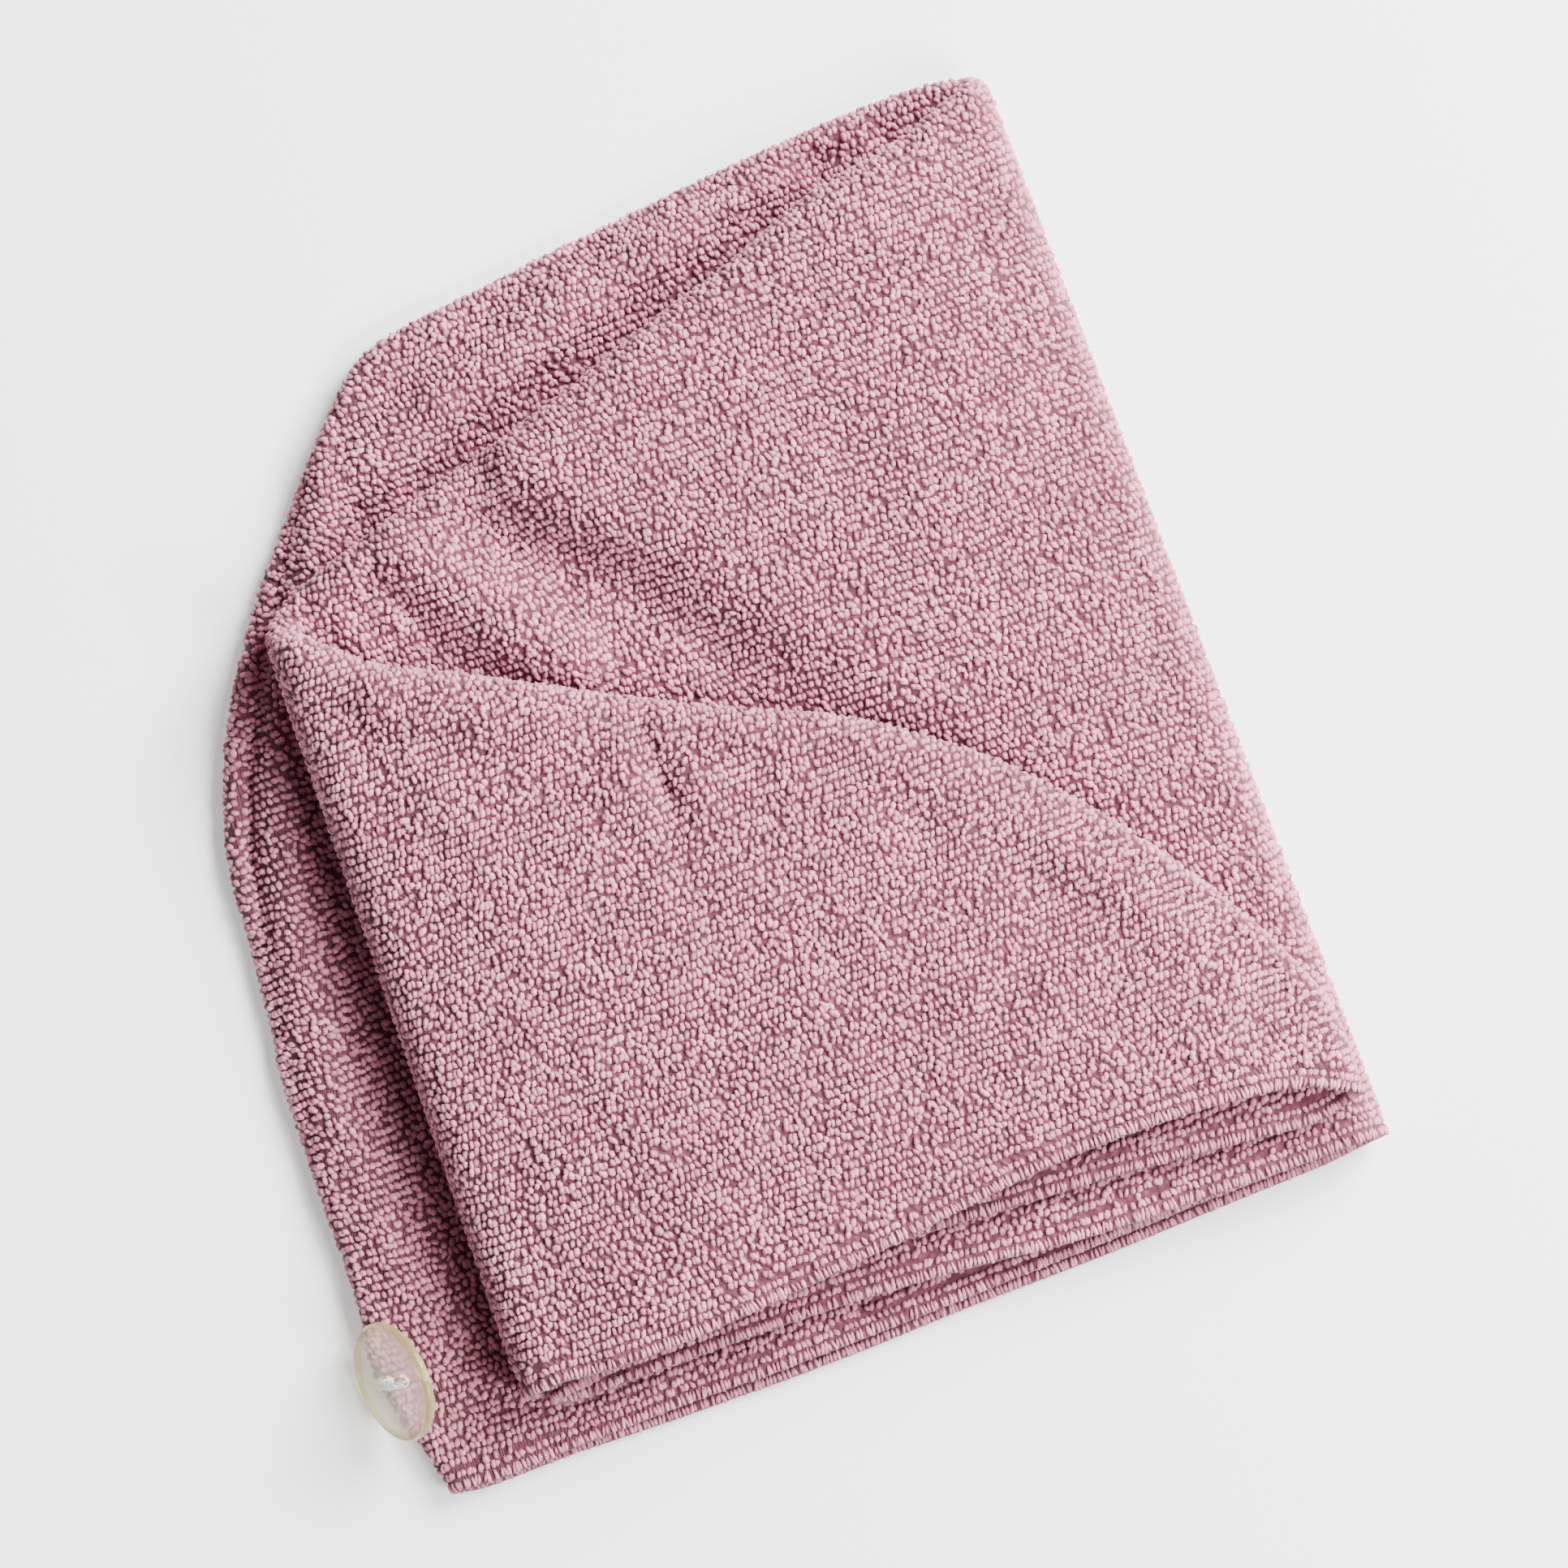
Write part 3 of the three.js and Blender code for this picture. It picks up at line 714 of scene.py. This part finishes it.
def sight_tree(towel):
    """The towel and the floor, as a tree to look out against."""
    corners, faces = towel.wall()
    low, high = SIGHT_FLOOR
    floor = [(low, low, 0.0), (high, low, 0.0), (high, high, 0.0), (low, high, 0.0)]
    count = len(corners)
    return BVHTree.FromPolygons(
        corners.tolist() + floor,
        faces.tolist() + [(count, count + 1, count + 2), (count, count + 2, count + 3)])


def in_sight(tree, points, direction):
    """Which points can be seen at all: nothing lies straight out of them, or aslant."""
    seen = np.zeros(len(points), bool)
    side = unit(np.cross(direction, [0.31, 0.52, 0.79]))
    other = np.cross(direction, side)
    aims = [direction]
    for turn in range(SIGHT_AIMS):
        a = turn * 2 * math.pi / SIGHT_AIMS
        aims.append(unit(direction * SIGHT_SLANT + side * math.cos(a) + other * math.sin(a)))
    start = points + direction * SIGHT_START
    for aim in aims:
        for n in np.nonzero(~seen)[0]:
            if tree.ray_cast(start[n].tolist(), aim[n].tolist(), SIGHT_REACH)[0] is None:
                seen[n] = True
    return seen


def stand_loops(towel):
    """Where each piece's loops stand: points, directions and the way along the row. A layer's
    loops make two pieces, one below and one above its middle."""
    rng = np.random.default_rng(SEED)
    tree = sight_tree(towel)
    half_way = towel.grid.shape[1] // 2 + 1
    loops = []
    stitches = []
    for sign, reach in ((-1, OUTER_REACH), (1, INNER_REACH)):
        points, direction = towel.side(sign)
        for ply in (slice(0, half_way), slice(None, -half_way - 1, -1)):
            grid, facing = points[:, ply], direction[:, ply]
            rows = np.arange(0, reach, ROW_PITCH)
            loops.append(place_loops(grid, facing, LOOP_PITCH, rows, rng))
            loops.append(place_loops(grid, facing, LOOP_PITCH, [HEM_LOOP_ROW], rng, True))
            stitches.append(
                place_loops(grid, facing, HEM_STITCH_PITCH, [HEM_STITCH_ROW], rng, True))
    *loops, column = (np.concatenate(field) for field in zip(*loops))
    *stitches, _ = (np.concatenate(field) for field in zip(*stitches))

    def seen(*found):
        here = in_sight(tree, found[0], found[1])
        return [field[here] for field in found]

    groups = {
        "seam_loops": seen(*fill_gaps(towel, tree, loops[0], rng)),
        "hem_stitches": seen(*stitches),
    }
    *loops, column = seen(*loops, column)
    back_end = END_STEPS + BACK_STEPS + TURN_STEPS // 2
    flap_end = back_end + TURN_STEPS + FLAP_STEPS
    for name, layer in (
        ("back_loops", column < back_end),
        ("flap_loops", (column >= back_end) & (column < flap_end)),
        ("tail_loops", column >= flap_end),
    ):
        up = loops[0][:, 1]
        middle = np.median(up[layer])
        groups["lower_" + name] = [field[layer & (up < middle)] for field in loops]
        groups["upper_" + name] = [field[layer & (up >= middle)] for field in loops]
    return groups


# Materials
def new_material(name):
    material = bpy.data.materials.new(name)
    material.use_nodes = True
    nodes = material.node_tree.nodes
    nodes.clear()
    shader = nodes.new("ShaderNodeBsdfPrincipled")
    output = nodes.new("ShaderNodeOutputMaterial")
    material.node_tree.links.new(shader.outputs["BSDF"], output.inputs["Surface"])
    return material, shader


def plug(tree, node, sockets):
    """Links or sets a node's sockets, by name or number."""
    for socket, value in sockets.items():
        if isinstance(value, bpy.types.NodeSocket):
            tree.links.new(value, node.inputs[socket])
        else:
            node.inputs[socket].default_value = value


def add(tree, kind, sockets=None, **settings):
    """A new node, with its settings and its sockets."""
    node = tree.nodes.new(kind)
    for name, value in settings.items():
        setattr(node, name, value)
    plug(tree, node, sockets or {})
    return node


def blend_colour(tree, share, one, two):
    return add(tree, "ShaderNodeMix", {0: share, 6: one, 7: two}, data_type="RGBA").outputs[2]


def bump(tree, height, strength, distance, **settings):
    return add(tree, "ShaderNodeBump", {
        "Height": height, "Strength": strength, "Distance": distance}, **settings).outputs["Normal"]


# Painted shade: the dark colour at the loops' bases and between the ground's small loops, where
# shade falls
PAINTED_SHADE_MAUVE = (0.105, 0.030, 0.045, 1)
MID_MAUVE = (0.560, 0.190, 0.262, 1)
PALE_MAUVE = (0.800, 0.350, 0.450, 1)
# Painted shade: the ground under the loops, coloured far darker than the loops for the shade that
# lies there
PAINTED_SHADE_GROUND = (0.200, 0.060, 0.088, 1)
PALE_RESIN = (0.89, 0.86, 0.72, 1)
CLEAR_RESIN = (0.95, 0.93, 0.82, 1)
# Painted light: the yellow that light gathering in the button's thick rim gives
PAINTED_RIM_LIGHT = (0.82, 0.70, 0.30, 1)
GREY_THREAD = (0.84, 0.82, 0.78, 1)
WHITE_THREAD = (0.98, 0.97, 0.95, 1)


def looped_terry():
    """Microfibre loops: painted shade makes them deep at their bases, down between them, and they
    are paler in patches that vary at random.
    """
    material, shader = new_material("looped terry")
    tree = material.node_tree
    place = add(tree, "ShaderNodeTexCoord").outputs["Object"]
    tip = add(tree, "ShaderNodeAttribute", attribute_name="tip").outputs["Fac"]
    tone = add(tree, "ShaderNodeAttribute", attribute_name="tone").outputs["Fac"]
    # Painted shade: dark at each loop's base and mid at its tip, for the shade that falls down
    # between the loops
    rise = add(tree, "ShaderNodeMapRange", {"Value": tip, "From Min": 0.5, "From Max": 1.0})
    painted_shade = blend_colour(tree, rise.outputs["Result"], PAINTED_SHADE_MAUVE, MID_MAUVE)
    lift = add(tree, "ShaderNodeMapRange", {
        "Value": tone, "From Min": 0.1, "From Max": 1.0, "To Min": 0.1, "To Max": 1.3})
    worn = add(tree, "ShaderNodeTexNoise", {"Vector": place, "Scale": 45.0, "Detail": 3.0})
    wear = add(tree, "ShaderNodeMath", {0: worn.outputs["Fac"], 1: lift.outputs["Result"]},
               operation="MULTIPLY")
    fibre = add(tree, "ShaderNodeTexNoise", {
        "Vector": place, "Scale": 5200.0, "Detail": 2.0, "Roughness": 0.6})
    plug(tree, shader, {
        "Base Color": blend_colour(tree, wear.outputs["Value"], painted_shade, PALE_MAUVE),
        "Normal": bump(tree, fibre.outputs["Fac"], 0.55, 0.0002),
        "Roughness": 0.9,
        "Specular IOR Level": 0.15,
        "Sheen Weight": 0.2,
        "Sheen Roughness": 0.45,
    })
    return material


def terry_ground():
    """The knit that the loops stand on, with rows of small loops where it lies out of sight,
    painted dark as the shade under the loops and darker between its small loops.
    """
    material, shader = new_material("terry ground")
    tree = material.node_tree
    cloth = add(tree, "ShaderNodeUVMap", uv_map="cloth").outputs["UV"]
    nub = add(tree, "ShaderNodeTexVoronoi", {
        "Vector": cloth, "Scale": 55.0, "Smoothness": 0.4, "Randomness": 0.75},
        feature="SMOOTH_F1").outputs["Distance"]
    # Painted shade: darker between the ground's small loops
    painted_nub_shade = add(tree, "ShaderNodeMapRange", {"Value": nub, "From Min": 0.1, "From Max": 0.7})
    plug(tree, shader, {
        "Base Color": blend_colour(tree, painted_nub_shade.outputs["Result"], PAINTED_SHADE_GROUND, PAINTED_SHADE_MAUVE),
        "Normal": bump(tree, nub, 0.9, 0.0008, invert=True),
        "Roughness": 0.95,
        "Specular IOR Level": 0.1,
        "Sheen Weight": 0.25,
    })
    return material


def frosted_resin():
    """The button's clear resin, slightly clouded, and painted yellower round its thick rim for the
    light that gathers there.
    """
    material, shader = new_material("frosted resin")
    tree = material.node_tree
    place = add(tree, "ShaderNodeTexCoord").outputs["Object"]
    rim = add(tree, "ShaderNodeAttribute", attribute_name="rim").outputs["Fac"]
    cloud = add(tree, "ShaderNodeTexNoise", {"Vector": place, "Scale": 160.0, "Detail": 4.0})
    milk = blend_colour(tree, cloud.outputs["Fac"], PALE_RESIN, CLEAR_RESIN)
    fine = add(tree, "ShaderNodeTexNoise", {"Vector": place, "Scale": 1400.0, "Detail": 3.0})
    rough = add(tree, "ShaderNodeMapRange", {
        "Value": fine.outputs["Fac"], "To Min": 0.10, "To Max": 0.22})
    plug(tree, shader, {
        # painted light: yellower round the rim, where light gathers in its thickness
        "Base Color": blend_colour(tree, rim, milk, PAINTED_RIM_LIGHT),
        "Normal": bump(tree, fine.outputs["Fac"], 0.04, 0.0001),
        "Roughness": rough.outputs["Result"],
        "Transmission Weight": 0.88,
        "IOR": 1.3,
    })
    return material


def white_thread():
    material, shader = new_material("white thread")
    tree = material.node_tree
    place = add(tree, "ShaderNodeTexCoord").outputs["Object"]
    fibre = add(tree, "ShaderNodeTexNoise", {
        "Vector": place, "Scale": 3000.0, "Detail": 3.0}).outputs["Fac"]
    plug(tree, shader, {
        "Base Color": blend_colour(tree, fibre, GREY_THREAD, WHITE_THREAD),
        "Normal": bump(tree, fibre, 0.4, 0.0001),
        "Roughness": 0.75,
    })
    return material


# Loops on points, by Geometry Nodes
LOOP_LENGTHS = ("Width", "Length", "Height", "Lumps")


def loop_tree():
    """Stands one terry loop on every point, along its row and leaning a little every way."""
    tree = bpy.data.node_groups.new("terry loops", "GeometryNodeTree")
    face = tree.interface
    face.new_socket("Points", in_out="INPUT", socket_type="NodeSocketGeometry")
    for name, kind in (("Width", "Float"), ("Length", "Float"), ("Height", "Float"),
                       ("Size spread", "Float"), ("Lean", "Float"), ("Twist", "Float"),
                       ("Lumps", "Float"), ("Seed", "Int"), ("Finish", "Material")):
        face.new_socket(name, in_out="INPUT", socket_type="NodeSocket" + kind)
    face.new_socket("Loops", in_out="OUTPUT", socket_type="NodeSocketGeometry")
    given = tree.nodes.new("NodeGroupInput").outputs
    result = tree.nodes.new("NodeGroupOutput")

    ball = add(tree, "GeometryNodeMeshUVSphere", {
        "Segments": LOOP_SIDES, "Rings": LOOP_RINGS, "Radius": 0.5})
    height = add(tree, "ShaderNodeSeparateXYZ", {
        0: add(tree, "GeometryNodeInputPosition").outputs[0]}).outputs["Z"]
    # The height up each loop, base to tip, which the terry material uses to paint shade towards the
    # base
    tip = add(tree, "ShaderNodeMath", {0: height, 1: 0.5}, operation="ADD")
    marked = add(tree, "GeometryNodeStoreNamedAttribute", {
        "Geometry": ball.outputs["Mesh"], "Name": "tip", "Value": tip.outputs[0]},
        data_type="FLOAT", domain="POINT")
    size = add(tree, "ShaderNodeCombineXYZ", {
        "X": given["Width"], "Y": given["Length"], "Z": given["Height"]})
    loop = add(tree, "GeometryNodeTransform", {
        "Geometry": marked.outputs["Geometry"], "Scale": size.outputs[0]})

    def named(name):
        return add(tree, "GeometryNodeInputNamedAttribute", {"Name": name},
                   data_type="FLOAT_VECTOR").outputs["Attribute"]

    stood = add(tree, "FunctionNodeAlignRotationToVector", {"Vector": named("stands")}, axis="Z")
    turned = add(tree, "FunctionNodeAlignRotationToVector", {
        "Rotation": stood.outputs[0], "Vector": named("row")}, axis="X", pivot_axis="Z")
    most = add(tree, "ShaderNodeCombineXYZ", {
        "X": given["Lean"], "Y": given["Lean"], "Z": given["Twist"]}).outputs[0]
    least = add(tree, "ShaderNodeVectorMath", {0: most, "Scale": -1.0}, operation="SCALE")
    shaken = add(tree, "FunctionNodeRandomValue", {
        0: least.outputs[0], 1: most, "Seed": given["Seed"]}, data_type="FLOAT_VECTOR")
    shake = add(tree, "FunctionNodeEulerToRotation", {0: shaken.outputs[0]})
    leaning = add(tree, "FunctionNodeRotateRotation", {
        0: turned.outputs[0], 1: shake.outputs[0]}, rotation_space="LOCAL")
    spread = given["Size spread"]
    large = add(tree, "ShaderNodeMath", {0: 1.0, 1: spread}, operation="ADD").outputs[0]
    small = add(tree, "ShaderNodeMath", {0: 1.0, 1: spread}, operation="SUBTRACT").outputs[0]
    scale = add(tree, "FunctionNodeRandomValue", {
        0: small, 1: large, "Seed": add(tree, "ShaderNodeMath", {
            0: given["Seed"], 1: 1.0}, operation="ADD").outputs[0]}, data_type="FLOAT_VECTOR")
    placed = add(tree, "GeometryNodeInstanceOnPoints", {
        "Points": given["Points"], "Instance": loop.outputs["Geometry"],
        "Rotation": leaning.outputs[0], "Scale": scale.outputs[0]})
    tone = add(tree, "FunctionNodeRandomValue", {
        2: 0.0, 3: 1.0, "Seed": add(tree, "ShaderNodeMath", {
            0: given["Seed"], 1: 2.0}, operation="ADD").outputs[0]}, data_type="FLOAT")
    toned = add(tree, "GeometryNodeStoreNamedAttribute", {
        "Geometry": placed.outputs["Instances"], "Name": "tone", "Value": tone.outputs[1]},
        data_type="FLOAT", domain="INSTANCE")
    real = add(tree, "GeometryNodeRealizeInstances", {"Geometry": toned.outputs["Geometry"]})
    lump = add(tree, "ShaderNodeTexNoise", {"Scale": 900.0, "Detail": 1.0})
    centred = add(tree, "ShaderNodeVectorMath", {
        0: lump.outputs["Color"], 1: (0.5, 0.5, 0.5)}, operation="SUBTRACT")
    push = add(tree, "ShaderNodeVectorMath", {
        0: centred.outputs[0], "Scale": given["Lumps"]}, operation="SCALE")
    lumped = add(tree, "GeometryNodeSetPosition", {
        "Geometry": real.outputs["Geometry"], "Offset": push.outputs[0]})
    smooth = add(tree, "GeometryNodeSetShadeSmooth", {"Geometry": lumped.outputs["Geometry"]})
    finished = add(tree, "GeometryNodeSetMaterial", {
        "Geometry": smooth.outputs["Geometry"], "Material": given["Finish"]})
    tree.links.new(finished.outputs["Geometry"], result.inputs["Loops"])
    return tree


def grow_loops(name, tree, finish, points, stands, row, sizes):
    """A piece of loops standing on the given points, with sizes named as the tree's inputs."""
    mesh = bpy.data.meshes.new(name)
    mesh.from_pydata(into_part(points - stands * LOOP_SINK).tolist(), [], [])
    for key, value in (("stands", stands), ("row", row)):
        field = mesh.attributes.new(key, "FLOAT_VECTOR", "POINT")
        field.data.foreach_set("vector", value.astype(np.float32).ravel())
    piece = bpy.data.objects.new(name, mesh)
    bpy.context.scene.collection.objects.link(piece)
    grower = piece.modifiers.new("loops", "NODES")
    grower.node_group = tree
    inputs = {item.name: item.identifier for item in tree.interface.items_tree
              if item.in_out == "INPUT"}
    for key, value in sizes.items():
        grower[inputs[key]] = value * MM if key in LOOP_LENGTHS else value
    grower[inputs["Seed"]] = SEED
    grower[inputs["Finish"]] = finish
    grown = bpy.data.meshes.new_from_object(
        piece.evaluated_get(bpy.context.evaluated_depsgraph_get()))
    piece.modifiers.remove(grower)
    piece.data = grown
    bpy.data.meshes.remove(mesh)
    return piece


def towel_ground(towel, finish):
    """The cloth itself, as a closed wall, with a map of the flat cloth in decimetres."""
    corners, faces = towel.wall()
    mesh = new_mesh("towel_ground", into_part(corners), faces.tolist())
    up = lengths(towel.grid)
    along = np.broadcast_to(lengths(towel.grid[:, LEVEL_POINT])[:, None], up.shape)
    flat = np.zeros((len(towel.middle), 2))
    flat[towel.point.ravel()] = np.column_stack([along.ravel(), up.ravel()]) / 100
    flat = np.concatenate([flat, flat])
    layer = mesh.uv_layers.new(name="cloth")
    corner = np.zeros(len(mesh.loops), np.int32)
    mesh.loops.foreach_get("vertex_index", corner)
    layer.data.foreach_set("uv", flat[corner].astype(np.float32).ravel())
    return new_piece("towel_ground", mesh, finish)


# Button and thread
def button_frame():
    """The frame that the button is made in, as the shaping axes have it."""
    tilt = math.radians(BUTTON_TILT)
    lift = (BUTTON_DIAMETER / 2 * math.sin(tilt) + BUTTON_THICKNESS / 2 * math.cos(tilt)
            + FIT_GAP / 3)
    centre = Vector((float(nape_x(BUTTON_UP)) + BUTTON_IN, BUTTON_UP, lift))
    return Matrix.Translation(centre) @ Matrix.Rotation(-tilt, 4, "Y")


def on_button(along, z):
    """A point over the line through both holes, at a height in the button's own frame."""
    turn = math.radians(HOLE_TURN)
    return button_frame() @ Vector((along * math.cos(turn), -along * math.sin(turn), z))


def in_fixed_order(mesh, finish):
    """A cut mesh with its corners and faces in one order, whatever order the cut left."""
    places = [tuple(corner.co) for corner in mesh.vertices]
    order = sorted(range(len(places)), key=places.__getitem__)
    rank = {n: k for k, n in enumerate(order)}
    faces = []
    for face in mesh.polygons:
        ring = [rank[n] for n in face.vertices]
        first = ring.index(min(ring))
        faces.append(ring[first:] + ring[:first])
    fixed = bpy.data.meshes.new(mesh.name)
    fixed.from_pydata([places[n] for n in order], [], sorted(faces))
    fixed.materials.append(finish)
    return fixed


def nape_button(finish):
    """The button, turned from its profile, with its two holes drilled."""
    radius = BUTTON_DIAMETER / 2
    half = BUTTON_THICKNESS / 2
    profile = [(0, -half + BACK_DISH), (radius * BACK_DISH_WIDTH, -half)]
    for i in range(EDGE_STEPS + 1):
        a = -math.pi / 2 + math.pi * i / EDGE_STEPS
        profile.append((radius - BUTTON_EDGE_ROUND * (1 - math.cos(a)), half * math.sin(a)))
    for share in (0, 0.25, 0.5, 0.75, 1):
        ease = share * share * (3 - 2 * share)
        profile.append((radius - DISH_RIM - DISH_SLOPE * share, half - DISH_DEPTH * ease))
    profile.append((0, half - DISH_DEPTH))
    shape = bmesh.new()
    ring = [shape.verts.new((r, 0, z)) for r, z in profile]
    line = [shape.edges.new(pair) for pair in zip(ring, ring[1:])]
    bmesh.ops.spin(shape, geom=ring + line, cent=(0, 0, 0), axis=(0, 0, 1),
                   angle=2 * math.pi, steps=BUTTON_SIDES, use_merge=True)
    bmesh.ops.remove_doubles(shape, verts=shape.verts, dist=1e-4)
    bmesh.ops.recalc_face_normals(shape, faces=shape.faces)
    mesh = bpy.data.meshes.new("nape_button")
    shape.to_mesh(mesh)
    shape.free()
    button = new_piece("nape_button", mesh, finish)
    turn = math.radians(HOLE_TURN)
    drills = []
    for side in (-1, 1):
        away = side * HOLE_SPACING / 2
        bpy.ops.mesh.primitive_cylinder_add(
            vertices=HOLE_SIDES, radius=HOLE_DIAMETER / 2, depth=4 * BUTTON_THICKNESS,
            location=(away * math.cos(turn), -away * math.sin(turn), 0))
        drill = bpy.context.object
        cut = button.modifiers.new("hole", "BOOLEAN")
        cut.object = drill
        cut.operation = "DIFFERENCE"
        drills.append(drill)
    bpy.context.view_layer.update()
    holed = in_fixed_order(bpy.data.meshes.new_from_object(
        button.evaluated_get(bpy.context.evaluated_depsgraph_get())), finish)
    button.modifiers.clear()
    button.data = holed
    for drill in drills:
        bpy.data.objects.remove(drill)
    places = np.zeros(len(holed.vertices) * 3)
    holed.vertices.foreach_get("co", places)
    places = places.reshape(-1, 3)
    reach = np.hypot(places[:, 0], places[:, 1])
    # Painted light: a share that rises towards the edge, where the resin is painted yellower for
    # the light that gathers in the thick rim
    rim = holed.attributes.new("rim", "FLOAT", "POINT")
    rim_light = np.clip((reach - radius + RIM_LIGHT_INSET) / RIM_LIGHT_FADE, 0, 1)
    rim.data.foreach_set("value", rim_light.astype(np.float32))
    points = np.array([button_frame() @ Vector(place) for place in places])
    holed.vertices.foreach_set("co", into_part(points).ravel())
    holed.polygons.foreach_set("use_smooth", np.ones(len(holed.polygons), bool))
    holed.set_sharp_from_angle(angle=math.radians(SHARP_ANGLE))
    holed.update()
    return button


def smooth_path(points, steps):
    """Evenly spaced points on a smooth curve through the given ones."""
    points = np.array(points, float)
    points = np.concatenate([[2 * points[0] - points[1]], points, [2 * points[-1] - points[-2]]])
    path = []
    for a, b, c, d in zip(points, points[1:], points[2:], points[3:]):
        for t in np.linspace(0, 1, CURVE_STEPS, endpoint=False):
            path.append(0.5 * (2 * b + (c - a) * t + (2 * a - 5 * b + 4 * c - d) * t ** 2
                               + (3 * b - a - 3 * c + d) * t ** 3))
    path.append(points[-2])
    path = np.array(path)
    run = lengths(path)
    even = np.linspace(0, run[-1], steps)
    return np.column_stack([np.interp(even, run, path[:, n]) for n in range(3)]), run[-1]


def button_thread(finish):
    """Strands laid round the stitch's path, closed at both ends."""
    face = BUTTON_THICKNESS / 2 - DISH_DEPTH
    hole = HOLE_SPACING / 2
    back = -BUTTON_THICKNESS / 2 - FIT_GAP
    bent = THREAD_BEND * math.sqrt(0.5)
    tilt = math.radians(BUTTON_TILT)
    foot = button_frame().translation.x + THREAD_SPREAD / 2 + FIT_GAP
    rest = BACK_OVER + PLY / 2 + FIT_GAP + THREAD_DIAMETER / 2 * math.sin(tilt)

    def seat(side, z):
        return Vector((foot + side * THREAD_SPREAD / 2, BUTTON_UP, z))

    path, length = smooth_path([
        seat(-1, rest), on_button(-hole, back), on_button(-hole, face),
        on_button(-hole + THREAD_BEND - bent, face + bent),
        on_button(-hole + THREAD_BEND, face + THREAD_BEND),
        on_button(0, face + THREAD_BEND + THREAD_BOW),
        on_button(hole - THREAD_BEND, face + THREAD_BEND),
        on_button(hole - THREAD_BEND + bent, face + bent), on_button(hole, face),
        on_button(hole, back), seat(1, rest + 2 * THREAD_DIAMETER), seat(1, rest),
    ], THREAD_STEPS)
    ahead = unit(np.gradient(path, axis=0))
    side = unit(np.cross(ahead, [0.0, 1.0, 0.05]))
    other = np.cross(ahead, side)
    strand = THREAD_DIAMETER * STRAND_RADIUS
    off = THREAD_DIAMETER * STRAND_OFF
    corners = []
    faces = []
    ring = np.arange(STRAND_SIDES) * 2 * math.pi / STRAND_SIDES
    twist = np.linspace(0, length / STRAND_LAY * 2 * math.pi, THREAD_STEPS)
    for lay in range(STRANDS):
        turn = (lay * 2 * math.pi / STRANDS + twist)[:, None]
        middle = path + off * (side * np.cos(turn) + other * np.sin(turn))
        base = len(corners)
        for m, u, v in zip(middle, side, other):
            corners.extend(m + strand * (u * math.cos(a) + v * math.sin(a)) for a in ring)
        rings = base + np.arange(THREAD_STEPS * STRAND_SIDES).reshape(-1, STRAND_SIDES)
        for low, high in zip(rings, rings[1:]):
            for j in range(STRAND_SIDES):
                k = (j + 1) % STRAND_SIDES
                faces.append((low[j], low[k], high[k], high[j]))
        faces.append(tuple(rings[0][::-1]))
        faces.append(tuple(rings[-1]))
    mesh = new_mesh("nape_thread", into_part(corners), faces)
    shape = bmesh.new()
    shape.from_mesh(mesh)
    bmesh.ops.recalc_face_normals(shape, faces=shape.faces)
    shape.to_mesh(mesh)
    shape.free()
    return new_piece("nape_thread", mesh, finish)


# Camera, light and floor
def photo_camera():
    data = bpy.data.cameras.new("photo camera")
    data.sensor_width = SENSOR_WIDTH
    data.lens = SENSOR_WIDTH * (CAMERA_HEIGHT - PHOTO_LEVEL) / PHOTO_WIDTH
    data.clip_end = CAMERA_SIGHT
    camera = bpy.data.objects.new("photo camera", data)
    camera.location = Vector((*PHOTO_CENTRE, CAMERA_HEIGHT)) * MM
    camera.rotation_euler = (0, 0, math.radians(PHOTO_TURN))
    bpy.context.scene.collection.objects.link(camera)
    bpy.context.scene.camera = camera


def softbox(name, azimuth, elevation, size, power):
    """A round lamp aimed at the middle, with its angles in degrees and its size in metres."""
    data = bpy.data.lights.new(name, "AREA")
    data.shape = "DISK"
    data.size = size
    data.energy = power
    lamp = bpy.data.objects.new(name, data)
    a = math.radians(azimuth)
    e = math.radians(elevation)
    aim = Vector((math.cos(a) * math.cos(e), math.sin(a) * math.cos(e), math.sin(e)))
    lamp.location = aim * SOFTBOX_AWAY
    lamp.rotation_euler = aim.to_track_quat("Z", "Y").to_euler()
    bpy.context.scene.collection.objects.link(lamp)


def studio():
    bpy.ops.mesh.primitive_plane_add(size=FLOOR_SIZE)
    floor = bpy.context.object
    floor.name = "studio_floor"
    paint, shader = new_material("pale floor")
    plug(paint.node_tree, shader, {
        "Base Color": (0.95, 0.95, 0.95, 1),
        "Roughness": 0.9,
        "Emission Color": (1, 1, 1, 1),
        "Emission Strength": 0.45,
    })
    floor.data.materials.append(paint)
    world = bpy.data.worlds.new("studio")
    bpy.context.scene.world = world
    world.use_nodes = True
    sky = world.node_tree.nodes["Background"]
    plug(world.node_tree, sky, {"Color": (1, 1, 1, 1), "Strength": 0.2})
    softbox("key", 22, 35, 1.2, 160)
    softbox("fill", -52, 42, 0.9, 58)


towel = Towel()
terry = looped_terry()
tree = loop_tree()
for name, (points, stands, row) in stand_loops(towel).items():
    sizes = HEM_STITCH if name == "hem_stitches" else LOOP
    piece = grow_loops(name, tree, terry, points, stands, row, sizes)
    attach(piece, "root")

ground = towel_ground(towel, terry_ground())
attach(ground, "root")
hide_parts("turban_cloth")

button = nape_button(frosted_resin())
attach(button, "root")
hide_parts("button")

thread = button_thread(white_thread())
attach(thread, "root")
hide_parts("button_thread")

photo_camera()
studio()
